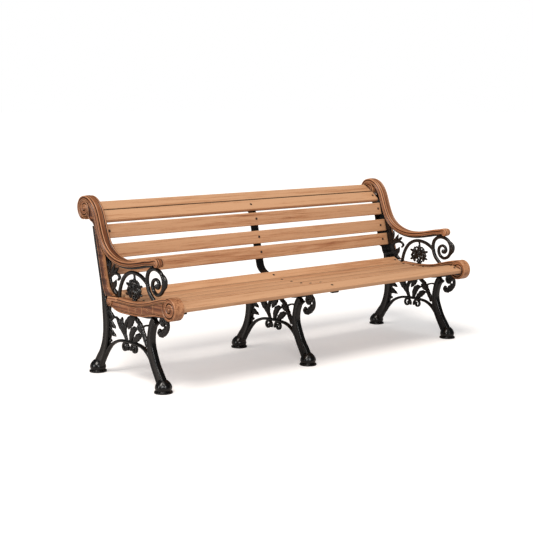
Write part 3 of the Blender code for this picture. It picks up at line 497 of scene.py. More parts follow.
def pan_screw(v, total, head=0.0062, rise=0.0035, shank=0.003):
    """Radius and depth below the top: a dome, the shank, then a point 4 mm long."""
    a = np.radians(np.linspace(4, 90, 6))
    r = [*(head * np.sin(a)), shank, shank * 0.9, 0.0004]
    h = [*(rise * (1 - np.cos(a))), rise, total - 0.004, total]
    return np.array(r)[:, None] + 0 * v, np.array(h)[:, None] + 0 * v


for kind, profile, flats in (("bolt_", carriage_bolt, 36), ("screw_", pan_screw, 24)):
    names = sorted(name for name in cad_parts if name.startswith(kind))
    for name in names:
        piece(name + "_turned", [turned(name, profile, flats)], steel, "bolt", name)
    print(len(names), kind)

# %% [markdown]
# The arm rail is one moulded strip of timber. Its upper face is domed and parted by two deep coves
# into a broad middle and a bead along each edge, and each side has a cove of its own. It sweeps from a
# small roll over the arm, up the front of the back post, and round into a carved volute.

# %% Arm rails
NOSE_CURL = mm([(-248, 598.5), (-255.5, 599.5), (-259, 606), (-256.5, 612), (-250, 614), (-236, 612)])
RAIL_LINE = smooth(NOSE_CURL + mm([
    (-215, 608), (-175, 603), (-125, 593), (-75, 584), (-25, 578.5), (30, 578.5), (80, 587), (125, 603.5),
    (160, 626), (188, 655), (208, 690), (223, 725), (236.5, 762), (252, 800), (274, 834), (306, 859),
    (344, 869.5), (379, 859.5), (398, 832), (395.5, 801), (377.5, 778.5), (358.5, 772.5)]))
RAIL_DEPTH, RAIL_TAIL = 0.027, 0.12


def moulding(count=176):
    """A near-square loop whose top (across = 1) is domed by 0.14 out^2 and parted by a cove, a wide
    Gaussian groove, at out = +-0.58. Each side has a cove at across = 0.15 and a quirk below it."""
    loop = rounded_profile(8, count)
    across, out = loop[:, 0].copy(), loop[:, 1].copy()
    top = np.clip(across, 0, 1)**6
    dome = 0.14 * out**2
    cove = 0.46 * np.exp(-((np.abs(out) - 0.58) / 0.105)**2)
    side = np.clip(np.abs(out), 0, 1)**8
    out -= np.sign(out) * side * (0.17 * np.exp(-((across - 0.15) / 0.20)**2)
                                  + 0.09 * np.exp(-((across + 0.60) / 0.12)**2))
    across -= top * (dome + cove)
    return np.column_stack([across, out])


def drum(centre, radius, x0, x1, relief, rings=26, sides=96):
    """A short cylinder along X. On both faces the surface at radius r and angle v sits at
    relief(r / radius, v) inside the end, and the rim is rounded by a quarter circle of 3 mm."""
    ease = min(0.003, radius / 4)
    v = np.linspace(0, 2 * np.pi, sides, endpoint=False)
    r = np.linspace(0.02, 1, rings) * (radius - ease)
    face = relief(r[:, None] / radius, v[None])
    a = np.radians(np.linspace(15, 90, 6))
    rim_r, rim_x = radius - ease + ease * np.sin(a), ease * (1 - np.cos(a))
    x_face = np.concatenate([face, rim_x[:, None] + 0 * v])
    r_face = np.concatenate([r[:, None] + 0 * face, rim_r[:, None] + 0 * v])
    x = np.concatenate([x0 + x_face, (x1 - x_face)[::-1]])
    rr = np.concatenate([r_face, r_face[::-1]])
    y, z = centre[0] + SHIFT + rr * np.cos(v), centre[1] + rr * np.sin(v)
    grid = np.stack([x, y, z], -1)
    return closed(grid, np.stack([y, z, x], -1))


def scroll_relief(turns, depth, eye, start=0.0):
    """A groove that winds in: it is deepest where turns * r - v / 2 pi is a whole number. A raised
    round eye fills the middle."""
    def relief(r, v):
        phase = (turns * r - (v - start) / (2 * np.pi)) % 1.0
        groove = np.exp(-(np.minimum(phase, 1 - phase) / 0.13)**2)
        button = np.clip(1 - (r / eye)**2, 0, 1)**0.5
        rim = np.clip((1 - r) * 8, 0, 1)
        return np.where(r < eye, depth * (0.9 - button), depth * (0.25 + 0.75 * groove * rim))
    return relief


def arm_rail(side, where):
    """The strip swells by 12% behind the nose, thins by 12% along its tail, and is narrower at the nose."""
    x = side * END_X
    along = lengths(RAIL_LINE)
    width = RAIL_DEPTH * (1 + 0.12 * np.exp(-((along - 0.045) / 0.030)**2))
    into_tail = along - along[-1] + RAIL_TAIL
    width = np.where(into_tail > 0, RAIL_DEPTH * (1 - 0.12 * into_tail / RAIL_TAIL), width)
    strip = carried(RAIL_LINE, moulding(), width, 2 * RAIL_HALF * (1 - 0.24 * np.exp(-(along / 0.040)**2)), x)
    volute = drum(VOLUTE_CENTRE, VOLUTE_RADIUS, x - RAIL_HALF + 0.0005, x + RAIL_HALF - 0.0005,
                  scroll_relief(2.0, 0.0080, 0.27, 0.35), 44, 128)
    nose = drum(NOSE_CENTRE, NOSE_RADIUS, x - 0.80 * RAIL_HALF, x + 0.80 * RAIL_HALF,
                scroll_relief(1.4, 0.0035, 0.32, 2.4), 32)
    return piece(f"arm_rail_{where}_moulded", [strip, volute, nose], rail_wood, "moulded_timber",
                 f"arm_rail_{where}", tone=0.03 * side, grain_start=50 + 7 * side)


for side, where in SIDES:
    print(arm_rail(side, where).name)

# %% [markdown]
# The seat's end trim is a board outside the iron, with a cap over both. The cap follows the seat's
# line and ends in a large roll with a carved spiral. The board's outer face has a fine groove parallel
# to its top and three upright ones that part it into panels, so it is drawn as a panel: a grid
# between an upper and a lower curve, its outer face pressed in by a relief.

# %% Seat trims
TRIM_TOP = smooth(mm([
    (-345, 458), (-300, 450), (-250, 438), (-200, 424), (-150, 414), (-100, 408), (-50, 405.5), (0, 406),
    (100, 407.5), (150, 404)]))
TRIM_FOOT = smooth(mm([
    (-330, 366), (-280, 362), (-240, 359), (-140, 342), (-40, 337), (40, 337), (85, 345), (128, 360)]))
CAP_DEPTH, TRIM_RUN = 0.021, 0.49
BOARD_INSIDE, BOARD_OUTSIDE = 0.0085, 0.0245
BOSS_CENTRE, BOSS_RADIUS = np.array([0.134, 0.380]), 0.0215


def panel(upper, lower, x_inside, x_outside, relief, rows=90, columns=360):
    """Point (t, s) = lower + s (upper - lower), with t along both curves, closed by a back face.

    The outer face sits at x_outside less relief(t, s, height), and is rounded off at its edges.
    """
    t = np.linspace(0, 1, columns)
    top, bottom = (np.column_stack([np.interp(t, lengths(c) / lengths(c)[-1], c[:, k]) for k in (0, 1)])
                   for c in (upper, lower))
    s = (1 - np.cos(np.linspace(0, np.pi, rows))) / 2
    place = bottom[:, None] + s[None, :, None] * (top - bottom)[:, None]
    height = np.linalg.norm(top - bottom, axis=1)[:, None]
    edge = np.minimum(np.minimum(s, 1 - s)[None] * height, 0.004) / 0.004
    depth = relief(t[:, None], s[None], height) + 0.003 * (1 - np.sqrt(1 - (1 - edge)**2))
    sign = np.sign(x_outside - x_inside)
    outer = x_outside - sign * depth
    front = np.stack([outer, place[..., 0] + SHIFT, place[..., 1]], -1)
    back = front[:, ::-1].copy()
    back[..., 0] = x_inside
    rings = np.concatenate([front, back], axis=1)
    grain = np.stack([rings[..., 1], rings[..., 2], rings[..., 0]], -1)
    return closed(rings, grain)


def groove(distance, width, depth):
    """depth exp(-(distance / width)^2)."""
    return depth * np.exp(-(distance / width)**2)


def trim_relief(t, s, height):
    """Grooves below the top and above the foot, three upright ones, and a six-petalled mark, pressed
    in by cos(3 a)^2 out to 9 mm, in the middle of each panel."""
    from_top, from_foot = (1 - s) * height, s * height
    along = t * TRIM_RUN
    upright = sum(groove(along - place * TRIM_RUN, 0.0018, 0.0040) for place in (0.21, 0.40, 0.64))
    inside = np.clip((from_top - 0.022) / 0.0015, 0, 1) * np.clip((from_foot - 0.011) / 0.0015, 0, 1)
    marks = 0.0
    for place in (0.305, 0.52, 0.80):
        dy, dz = along - place * TRIM_RUN, (s - 0.44) * height
        away, turn = np.hypot(dy, dz), np.arctan2(dz, dy)
        marks = marks + 0.0030 * np.cos(3 * turn)**2 * np.exp(-((away - 0.0055) / 0.0032)**2)
    return (groove(from_top - 0.020, 0.0022, 0.0050) + groove(from_foot - 0.009, 0.0018, 0.0035)
            + inside * (0.0026 + upright + marks))


def seat_trim(side, where):
    """The cap is as wide as the iron and board in front, and lies over the board alone at the rear."""
    x = side * END_X
    cap_line = beside(TRIM_TOP, -CAP_DEPTH / 2)
    s = lengths(cap_line)
    reach = float(np.interp(0.0645, cap_line[:, 0], s))
    front_cap = carried(part_of(cap_line, 0, reach), moulding(), CAP_DEPTH, 2 * RAIL_HALF, x)
    outer = (BOARD_INSIDE + RAIL_HALF) / 2
    rear_cap = carried(part_of(cap_line, reach - 0.001, s[-1] - 0.008), rounded_profile(6), CAP_DEPTH,
                       RAIL_HALF - BOARD_INSIDE, x + side * outer, ends=(0, 0.008))
    face = panel(beside(TRIM_TOP, -0.002), TRIM_FOOT, x + side * BOARD_INSIDE, x + side * BOARD_OUTSIDE,
                 trim_relief)
    roll = drum(ROLL_CENTRE, ROLL_RADIUS, x - RAIL_HALF, x + RAIL_HALF,
                scroll_relief(2.2, 0.0085, 0.18, 0.5), 64, 160)
    low, high = sorted((x + side * BOARD_INSIDE, x + side * RAIL_HALF))
    boss = drum(BOSS_CENTRE, BOSS_RADIUS, low, high, scroll_relief(1.0, 0.0035, 0.55))
    return piece(f"seat_trim_{where}_moulded", [front_cap, rear_cap, face, roll, boss], rail_wood,
                 "moulded_timber", f"seat_trim_{where}", tone=0.02 * side, grain_start=70 + 5 * side)


for side, where in SIDES:
    print(seat_trim(side, where).name)

# %% [markdown]
# The narrow board on the outside of each back post widens at the top to a cheek that fills the
# volute. Its edges are left proud and the face between them is sunk, so it too is a panel.

# %% Back trims
BACK_FRONT = smooth(mm([
    (100, 412.5), (124, 425), (146, 450), (158, 485), (170, 530), (181.5, 580), (190, 620), (203, 646),
    (224, 690), (239.5, 725), (253, 762), (268, 796), (283, 822), (298, 838), (310, 844.5)]))
BACK_REAR = smooth(mm([
    (166, 404.5), (176, 422), (186, 445), (194, 475), (205, 520), (217, 570), (225, 605), (233, 640),
    (242, 680), (251, 716), (262, 750), (288, 760), (311, 776), (310.5, 800), (313, 834)]))


def sunk_relief(t, s, height):
    """The face between two 5 mm edges is sunk by 3 mm, and by 5 mm in the cheek."""
    edge = np.minimum(s, 1 - s) * height
    sunk = np.clip((edge - 0.005) / 0.002, 0, 1)
    return sunk * (0.0030 + 0.0022 * np.clip((t - 0.72) * 20, 0, 1))


BACK_BOARD = 0.018
for side, where in SIDES:
    x = side * END_X
    inside, outside = x + side * BOARD_INSIDE, x + side * (BOARD_INSIDE + BACK_BOARD)
    shell = panel(BACK_FRONT, BACK_REAR, inside, outside, sunk_relief, 40)
    piece(f"back_trim_{where}_moulded", [shell], rail_wood, "moulded_timber", f"back_trim_{where}",
          tone=-0.13, grain_start=90 + 3 * side)
    print("back trim", where)

# %% [markdown]
# The castings are the heart of the bench. Each member of the pattern, a leg, an arch, a scroll or a
# stem, is a rounded bar that changes width along its curve. Legs have a shallow channel between two
# raised edges. Leaves are bars too, but their outline is toothed, a rib runs down the middle, and
# veins lead from it to the teeth.

# %% Members of a casting
ROUND_BAR = rounded_profile(2.7, 24)
FLAT_BAR = rounded_profile(9, 24)


def channelled():
    """A squarish loop whose two outer faces are hollowed by 0.24 exp(-(across / 0.52)^6)."""
    loop = rounded_profile(4.5, 48)
    face = np.clip(np.abs(loop[:, 1]), 0, 1)**3
    hollow = 0.24 * face * np.exp(-(loop[:, 0] / 0.52)**6)
    return np.column_stack([loop[:, 0], loop[:, 1] - np.sign(loop[:, 1]) * hollow])


CHANNEL = channelled()


def strand(rows, thickness, x, profile=ROUND_BAR, ends=(0.004, 0.004)):
    """A bar through rows of (y, z, width)."""
    rows = smooth(rows)
    return carried(rows, profile, rows[:, 2], thickness, x, ends)


def leaf(rows, thickness, x, teeth=4, bite=0.22, sides=40):
    """Width w(u) (1.12 - bite * saw(u)), and thickness T |sin v|^0.8 less a rib line and veins.

    u runs along the leaf from 0 to 1, a = cos v runs across it, and saw is a toothed wave of u. The
    last quarter thins to a third.
    """
    rows = smooth(rows, 14)
    u = lengths(rows) / lengths(rows)[-1]
    saw = (u * teeth) % 1.0
    width = rows[:, 2] * (1.12 - bite * saw)
    v = np.linspace(0, 2 * np.pi, sides, endpoint=False) + np.pi / sides
    a, out = np.cos(v), np.sin(v)
    body = np.sign(out) * np.abs(out)**0.8
    rib = 1 - 0.30 * np.exp(-(a / 0.13)**2)
    vein = 1 - 0.14 * (0.5 + 0.5 * np.cos(2 * np.pi * (u[:, None] * teeth * 2 + np.abs(a)[None] * 1.3)))
    rings_out = body * rib * vein * thickness / 2 * np.minimum(1, 0.35 + 4 * (1 - u))[:, None]
    rings = swept(rows, a[None] * width[:, None] / 2, x + rings_out)
    return closed(rings, rings)


def ball(y, z, radius, x, flat, rings=10, sides=20):
    """A sphere of radius sin(a) at height flat * radius cos(a) along X."""
    a = np.linspace(0.05, np.pi - 0.05, rings)[:, None]
    v = np.linspace(0, 2 * np.pi, sides, endpoint=False)[None]
    grid = np.stack([x + flat * radius * np.cos(a) + 0 * v, y + SHIFT + radius * np.sin(a) * np.cos(v),
                     z + radius * np.sin(a) * np.sin(v)], -1)
    return closed(grid, grid)


def vine_leaf(y, z, radius, thickness, x, turn, lobes=5):
    """Polar leaf: outline R (1 + 0.34 cos(lobes v)) (1 + 0.07 |saw|), thickness falling to the edge as
    (1 - r^2)^0.6, with a vein along the middle of every lobe. It is wider in y than it is tall."""
    v = np.linspace(0, 2 * np.pi, 120, endpoint=False)
    r = np.sin(np.linspace(0.02, 1, 16) * np.pi / 2)[:, None]
    wave = v - np.radians(turn)
    teeth = 1 + 0.07 * np.abs(((v * 25 / (2 * np.pi)) % 1) - 0.5)
    outline = radius * (1 + 0.34 * np.cos(lobes * wave)) * teeth
    near = np.abs(((wave * lobes / (2 * np.pi)) + 0.5) % 1 - 0.5)
    vein = 1 - 0.30 * np.exp(-(near * r / 0.05)**2) * (r > 0.04)
    out = thickness / 2 * np.clip(1 - r**2, 0, 1)**0.6 * vein
    yy = y + SHIFT + 1.22 * r * outline * np.cos(v)
    zz = z + 0.92 * r * outline * np.sin(v)
    grid = np.concatenate([np.stack([x + out, yy, zz], -1), np.stack([x - out, yy, zz], -1)[::-1]])
    return closed(grid, grid)


def paw(y, x, front, pad=0.044):
    """A foot: a round pad with a moulded edge, and on it a paw, a turned form of (radius, height, toe)
    rows. The side away from the leg has toes: R(h) (1 + 0.10 toe (|cos 2.5 v| - 0.55))."""
    v = np.linspace(0, 2 * np.pi, 96, endpoint=False)[None]
    rows = smooth([(0.020, 0.0, 0), (pad - 0.001, 0.0, 0), (pad, 0.0015, 0), (pad, 0.0060, 0),
                   (pad - 0.0015, 0.0085, 0), (0.0385, 0.0100, 0), (0.0365, 0.0125, 0), (0.0385, 0.0160, 1),
                   (0.0405, 0.0240, 1), (0.0390, 0.0340, 1), (0.0345, 0.0440, 0.8), (0.0280, 0.0530, 0.4),
                   (0.0200, 0.0610, 0)], 4)
    toe = np.cos(v - (np.pi if front else 0.0))
    toes = rows[:, 2:] * np.clip(toe + 0.5, 0, 1) * (np.abs(np.cos(2.5 * (v - np.pi))) - 0.55) * 0.10
    r = np.minimum(rows[:, :1] * (1 + toes), pad)
    height = np.maximum(rows[:, 1:2], 0)
    grid = np.stack([x + r * np.sin(v), y + SHIFT + r * np.cos(v), height + 0 * v], -1)
    return closed(grid, grid)


print("a channelled bar has", len(CHANNEL), "corners")

# %% [markdown]
# The lower part is nearly the same in all three castings: a pair of sabre legs on paw feet, joined by
# an arch, an oval ring of foliage above it, two small spirals below, toothed leaves against the rear
# leg, and a pendant with a curled end in front. An end frame's rear leg runs on up as a rib behind
# the post.

# %% Legs, arch and foliage
FRONT_LEG = mm([
    (-228, 337, 46), (-207, 312, 40), (-192, 262, 37), (-190, 215, 42), (-202, 165, 52), (-226, 115, 52),
    (-252, 75, 56), (-277, 36, 60)])
REAR_LEG = mm([
    (187, 350, 50), (188, 280, 50), (190, 220, 47), (201, 165, 48), (222, 115, 50), (249, 75, 56),
    (277, 36, 60)])
REAR_RIB = mm([
    (281, 735, 20), (273, 700, 22), (262, 650, 22), (249, 595, 22), (226.5, 500, 22), (211.5, 435, 24),
    (202, 385, 34), (194, 335, 45)])
ARCH = mm([
    (-212, 110, 20), (-168, 160, 17), (-120, 188, 15), (-60, 196.5, 15), (20, 196.5, 15), (85, 189, 15),
    (143, 164, 16), (184, 126, 18), (212, 90, 20)])
RING = mm([
    (-160, 200, 22), (-130, 248, 26), (-107, 285, 27), (-80, 311, 23), (-40, 326.5, 20), (-2, 310, 20),
    (24, 280, 22), (36, 245, 24), (18, 198, 20)])
RING_LEAVES = mm([
    [(-36, 194, 14), (-56, 214, 30), (-84, 236, 34), (-114, 246, 8)],
    [(-16, 198, 16), (-25, 238, 36), (-44, 264, 32), (-76, 272, 8)],
    [(-40, 324, 22), (-20, 294, 36), (3, 260, 8)],
    [(-118, 262, 16), (-96, 272, 26), (-74, 288, 6)]])
SPRIG_LEAVES = mm([
    [(24, 214, 16), (50, 247, 28), (76, 274, 34), (103, 306, 6)],
    [(48, 246, 14), (61, 280, 26), (56, 312, 5)],
    [(186, 232, 40), (152, 220, 32), (113, 207, 6)],
    [(182, 275, 42), (150, 262, 32), (115, 247, 6)],
    [(180, 320, 40), (150, 308, 26), (125, 298, 6)]])
SPRIG_STEM = mm([(80, 276, 10), (108, 301, 11), (138, 294, 11), (172, 268, 16)])
LEG_CURL = mm([(-205, 296, 14), (-170, 302, 10), (-140, 297, 10), (-110, 283, 14)])
DROP = mm([
    (-298, 336), (-289, 323), (-275, 329), (-271, 345), (-284, 358), (-305, 359), (-322, 343),
    (-326, 318), (-316, 296), (-296, 281), (-272, 272), (-254, 281), (-263, 297)])
DROP_LEAVES = mm([
    [(-262, 374, 16), (-286, 366, 34), (-312, 352, 30), (-332, 326, 8)],
    [(-312, 318, 16), (-302, 296, 34), (-282, 278, 30), (-256, 266, 8)]])
FOOT_Y = 0.2835


def lower_casting(x, rear_leg):
    """All members below the seat, on the plane at x."""
    legs = [strand(rows, thickness, x, CHANNEL, (0.002, 0.0)) for rows, thickness in
            ((FRONT_LEG, 0.034), (rear_leg, 0.033))]
    feet = [paw(-FOOT_Y, x, True), paw(FOOT_Y, x, False)]
    bars = [strand(ARCH, 0.022, x), strand(RING, 0.013, x), strand(LEG_CURL, 0.0145, x),
            strand(SPRIG_STEM, 0.0135, x), strand([(*p, 0.017) for p in DROP], 0.017, x),
            strand([(-0.281, 0.345, 0.020), (-0.268, 0.376, 0.028)], 0.0125, x)]
    garland = [leaf([(y, z, 1.12 * w) for y, z, w in RING], 0.020, x, teeth=13, bite=0.30)]
    foliage = [leaf(rows, 0.0165 + 0.0008 * (k % 3), x)
               for k, rows in enumerate(RING_LEAVES + SPRIG_LEAVES)]
    foliage += [leaf(rows, 0.0200, x, 3) for rows in DROP_LEAVES]
    curls = []
    for centre, degrees in (((-0.047, 0.1675), (-20, 380)), ((0.032, 0.1655), (200, -200))):
        turn = spiral(centre, (0.0265, 0.009), degrees)
        width = np.linspace(0.0145, 0.010, len(turn))
        curls.append(carried(turn, ROUND_BAR, width, 0.0165, x, (0.003, 0.003)))
        curls.append(ball(*turn[-1], 0.0085, x, 1.1))
    beads = [ball(-0.296, 0.337, 0.0115, x, 1.0), ball(-0.266, 0.277, 0.015, x, 0.75),
             ball(-0.151, 0.209, 0.009, x, 1.2), ball(0.161, 0.178, 0.008, x, 1.2)]
    return legs + feet + bars + garland + foliage + curls + beads


# %% [markdown]
# The iron under the slats is flat bar. It lies on one line, the bed, that runs from the seat's nose
# over its crest, along the dip, up the back and over its top. The end frames have a flange of it that
# reaches inboard, and the centre brace is a bar 50 mm wide on the same line.

# %% The bed and the bars on it
STRAP, BAR_END = 0.008, 0.002


def run_from(point, lean, length):
    """The far end of a straight run that leans back from upright."""
    return (point[0] + length * math.sin(lean), point[1] + length * math.cos(lean))


BACK_FOOT = (0.1965, BED_HEIGHT + 0.0653)
BACK_BEND = run_from(BACK_FOOT, BACK_LEAN, BACK_RUN)
TOP_BEND = run_from(BACK_BEND, math.radians(51), 0.0702)
SEAT_CREST, SEAT_DIP = (-0.326, BED_HEIGHT + 0.0315), (0.058, BED_HEIGHT)
BED = bent([(-0.396, BED_HEIGHT + 0.0115), (*SEAT_CREST, 0.040), (-0.168, BED_HEIGHT, 0.250),
            (*SEAT_DIP, 0.120), (*BACK_FOOT, 0.060), (*BACK_BEND, 0.025), (*TOP_BEND, 0.050),
            run_from(TOP_BEND, math.radians(60), 0.0825)])
BED_S = lengths(BED)
CREST, DIP, NECK, BACK_TOP = (float(BED_S[np.argmin(np.hypot(*(BED - corner).T))])
                              for corner in (SEAT_CREST, SEAT_DIP, BACK_FOOT, BACK_BEND))
BED_END = BED_S[-1] - BAR_END


def flange(stations, x_of):
    """Flat bar under the bed. Each station is (distance, outer edge, inner edge), both inboard."""
    stations = np.array(stations)
    path = part_of(BED, stations[0, 0], stations[-1, 0])
    s = lengths(path) + stations[0, 0]
    edges = [x_of(np.interp(s, stations[:, 0], stations[:, k])) for k in (1, 2)]
    middle, width = (edges[0] + edges[1]) / 2, np.abs(edges[1] - edges[0])
    return carried(beside(path, -STRAP / 2), FLAT_BAR, STRAP, width, middle)


def seat_web(x, start, end):
    """The upright iron under the seat flange, a third as thick as the legs."""
    path = beside(part_of(BED, start, end), -0.0242)
    return carried(path, rounded_profile(10, 24), 0.037, 0.012, x)


brace_line = beside(part_of(BED, BAR_END, BED_END), -STRAP / 2)
brace = carried(brace_line, rounded_profile(12, 32), STRAP, 0.050, 0.0)
piece("centre_brace_bar", [brace], iron, "iron", "centre_brace")
leg_strap = flange([(CREST + 0.024, -0.02, 0.02), (DIP + 0.060, -0.02, 0.02)],
                   lambda inboard: LEG_X + inboard)
leg_web = seat_web(LEG_X, CREST + 0.026, DIP + 0.058)
piece("centre_leg_casting", lower_casting(LEG_X, REAR_LEG) + [leg_strap, leg_web], iron, "iron", "centre_leg")
print("centre leg and brace")

# %% [markdown]
# Above the seat, each end frame carries a C-scroll under the arm's nose, a half-oval arch that
# holds vine leaves and berries, a sprig that springs from the post, and the strip under the arm rail.

# %% End frames
ARM_SCROLL = mm([
    (-246, 370), (-240, 398), (-215, 426), (-180, 460), (-162, 505), (-167, 547), (-193, 570.5),
    (-232, 577), (-270, 564), (-291, 536), (-293, 500), (-277, 471), (-247, 458), (-219, 468),
    (-205, 492), (-210, 517), (-231, 529), (-252, 522), (-260, 503), (-249, 490), (-240, 496)])
ARM_ARCH = mm([
    (-170, 494, 18), (-135, 518, 19), (-98, 533.5, 19), (-50, 540, 19), (-8, 533, 19), (30, 511, 20),
    (56, 477, 20), (72, 440, 20), (78, 405, 20), (78, 362, 20)])
SCROLL_LEAF = mm([(-284, 556, 10), (-304, 538, 22), (-309, 512, 24), (-291, 484, 12)])
POST = mm([
    (187, 330, 50), (180, 380, 70), (176, 430, 84), (196.5, 500, 84), (220.5, 595, 78), (240, 650, 66),
    (259, 700, 52), (272.5, 742, 43), (296, 765, 34), (316, 779, 18)])
POST_STEM = mm([
    (175, 495, 22), (140, 511, 15), (110, 519, 14), (86, 516, 13), (73, 502, 13), (84, 490, 11)])
POST_LEAVES = mm([
    [(160, 494, 20), (132, 530, 24), (115, 562, 5)],
    [(172, 462, 42), (142, 448, 46), (118, 464, 30), (103, 488, 6)],
    [(170, 442, 36), (130, 430, 30), (100, 420, 6)],
    [(176, 520, 20), (158, 548, 22), (152, 580, 5)],
    [(120, 516, 12), (100, 536, 18), (84, 548, 5)]])
VINE = [(-0.052, 0.460, 0.026, 0.021, 90), (-0.086, 0.474, 0.023, 0.017, 160),
        (-0.018, 0.476, 0.023, 0.018, 20), (-0.054, 0.498, 0.018, 0.019, 90),
        (-0.014, 0.440, 0.021, 0.019, -30), (-0.088, 0.444, 0.020, 0.020, 200)]
BERRIES = mm([
    (-62, 430), (-48, 431), (-70, 419), (-55, 419), (-41, 420), (-62, 408), (-48, 408), (-55, 398)])
ARM_STRIP, CLEARANCE = 0.011, 0.0003
WIDE, NARROW = 0.060, 0.042


def end_frame(side, where):
    """The casting: what stands above the seat, the flange with its web, and what lies below the seat.

    The flange reaches WIDE inboard, but only NARROW round the bend at the foot of the back.
    """
    def x_of(inboard):
        return side * (END_X - inboard)

    x = x_of(0.0)
    scroll = smooth(ARM_SCROLL)
    scroll_width = np.linspace(0.022, 0.014, len(scroll))
    under_rail = beside(RAIL_LINE, -RAIL_DEPTH / 2 - CLEARANCE - ARM_STRIP / 2)
    under_s = lengths(under_rail)
    arm_start, arm_end, post_start, post_end = (float(under_s[np.argmax(under_rail[:, 0] > y)])
                                                for y in (-0.218, 0.170, 0.160, 0.236))
    above = [
        strand(POST, 0.0128, x, rounded_profile(8, 32), (0.0, 0.004)),
        carried(scroll, ROUND_BAR, scroll_width, 0.0165, x, (0.0, 0.004)),
        ball(*scroll[-1], 0.0130, x, 0.85),
        strand(ARM_ARCH, 0.015, x), leaf(SCROLL_LEAF, 0.019, x, 3), leaf(SCROLL_LEAF[::-1], 0.017, x, 2),
        strand([(-0.050, 0.540, 0.010), (-0.057, 0.512, 0.009), (-0.053, 0.480, 0.010)], 0.011, x),
        *[vine_leaf(*row[:4], x, row[4]) for row in VINE],
        *[ball(*place, 0.0068, x, 1.2) for place in BERRIES],
        strand(POST_STEM, 0.0145, x), *[leaf(rows, 0.0155, x, 3) for rows in POST_LEAVES],
        carried(part_of(under_rail, arm_start, arm_end), FLAT_BAR, ARM_STRIP, 0.026, x, (0.003, 0.0)),
        carried(part_of(under_rail, post_start, post_end), FLAT_BAR, 0.0102, 0.0116, x)]
    clear = RAIL_HALF + 0.0013
    under_slats = flange([
        (BAR_END, clear, WIDE), (CREST + 0.024, clear, WIDE), (CREST + 0.028, -0.002, WIDE),
        (DIP + 0.081, -0.002, WIDE), (DIP + 0.093, -0.002, NARROW), (NECK + 0.040, -0.002, NARROW),
        (NECK + 0.052, -0.002, WIDE), (BACK_TOP - 0.006, -0.002, WIDE), (BACK_TOP - 0.002, clear, WIDE),
        (BED_END, clear, WIDE)], x_of)
    web = seat_web(x, CREST + 0.024, NECK - 0.010)
    below = lower_casting(x, REAR_RIB + REAR_LEG[1:])
    return piece(f"end_frame_{where}_casting", below + above + [under_slats, web], iron, "iron",
                 f"end_frame_{where}")


for side, where in SIDES:
    made = end_frame(side, where)
    print(made.name, len(made.data.polygons), "faces")

# %% [markdown]
# The bench stands on a plain white floor in a bright white room, as a catalogue shows it. Even light
# comes from all round, and a broad sun from the left and above adds the modelling and soft, faint
# shadows. The camera sees floor and room as white. Glossy rays meet a dimmer room, as if dark cloths
# hung behind the lights, so black paint stays black and takes its highlights from two soft panels. The
# plain sRGB view keeps the white and the timber's own colours.

# %% Floor, light and camera
def camera_or_else(tree, other, seen):
    """What the camera sees directly, and what every other ray meets."""
    rays = node(tree, "ShaderNodeLightPath").outputs["Is Camera Ray"]
    mix = node(tree, "ShaderNodeMixShader", links={"Fac": rays})
    tree.links.new(other, mix.inputs[1])
    tree.links.new(seen, mix.inputs[2])
    return mix.outputs["Shader"]


def floor_plane(half=80.0):
    """A square that reaches `half` each way, so that its edges lie past the camera's view."""
    mesh = bpy.data.meshes.new("floor")
    corners = [(-half, -half, 0), (half, -half, 0), (half, half, 0), (-half, half, 0)]
    mesh.from_pydata(corners, [], [(0, 1, 2, 3)])
    material, tree, shader = new_material(
        "white_floor", Base_Color=linear("#f6f4f3"), Roughness=1.0, Specular_IOR_Level=0.0,
        Emission_Color=linear("#ffffff"), Emission_Strength=0.20)
    dim = node(tree, "ShaderNodeBsdfDiffuse", Color=linear("#b4aca8"))
    chosen = camera_or_else(tree, dim.outputs["BSDF"], shader.outputs["BSDF"])
    tree.links.new(chosen, tree.nodes["Material Output"].inputs["Surface"])
    mesh.materials.append(material)
    in_scene("floor", mesh)


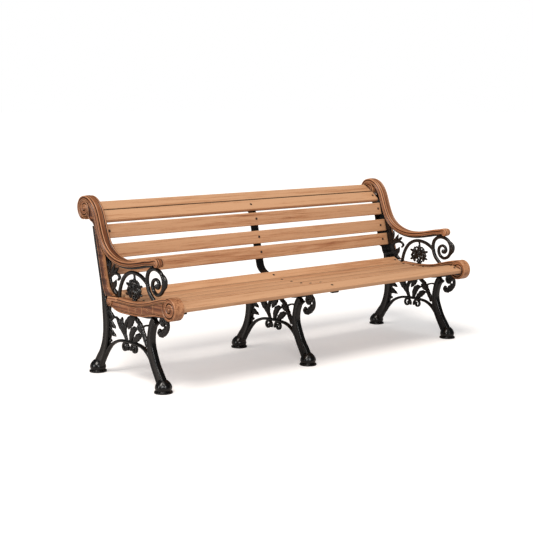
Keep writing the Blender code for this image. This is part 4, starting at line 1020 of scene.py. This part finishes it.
def lamp(kind, name, place, aim, power, colour, **settings):
    """A lamp at a place, turned so that it shines at its aim."""
    light = bpy.data.lights.new(name, kind)
    light.energy, light.color = power, linear(colour)[:3]
    for key, value in settings.items():
        setattr(light, key, value)
    made = in_scene(name, light)
    made.location = place
    made.rotation_euler = (Vector(aim) - Vector(place)).to_track_quat("-Z", "Y").to_euler()


floor_plane()
lamp("SUN", "sun", (-3.4, -1.6, 5.2), (0.0, 0.0, 0.0), 1.9, "#fff8f0", angle=math.radians(24))
lamp("AREA", "panel", (-3.2, -4.4, 2.4), (0.0, 0.0, 0.45), 62, "#ffffff", size=1.5)
lamp("AREA", "side_panel", (-5.2, 0.6, 1.6), (-1.0, 0.0, 0.4), 34, "#ffffff", size=1.2)
world = bpy.data.worlds.new("white_room")
world.use_nodes = True
tree = world.node_tree
room = tree.nodes["Background"]
room.inputs["Color"].default_value = linear("#ffffff")
glossy = node(tree, "ShaderNodeLightPath").outputs["Is Glossy Ray"]
level = node(tree, "ShaderNodeMapRange", links={"Value": glossy}, To_Min=0.62, To_Max=0.08)
tree.links.new(level.outputs["Result"], room.inputs["Strength"])
seen = node(tree, "ShaderNodeBackground", Color=linear("#ffffff"), Strength=1.0)
tree.links.new(camera_or_else(tree, room.outputs["Background"], seen.outputs["Background"]),
               tree.nodes["World Output"].inputs["Surface"])
bpy.context.scene.world = world
bpy.context.scene.view_settings.view_transform = "Standard"

camera_data = bpy.data.cameras.new("camera")
camera_data.lens, camera_data.sensor_width = 79.4, 36.0
camera = in_scene("camera", camera_data)
camera.location = (-4.105, -4.684 + SHIFT, 1.375)
azimuth, height, roll = math.radians(-40.33), math.radians(8.23), math.radians(0.17)
back = Vector((math.sin(azimuth) * math.cos(height), -math.cos(azimuth) * math.cos(height), math.sin(height)))
camera.rotation_mode = "QUATERNION"
camera.rotation_quaternion = (-back).to_track_quat("-Z", "Y") @ Quaternion((0.0, 0.0, 1.0), roll)
bpy.context.scene.camera = camera
print("camera", tuple(round(v, 3) for v in camera.location))
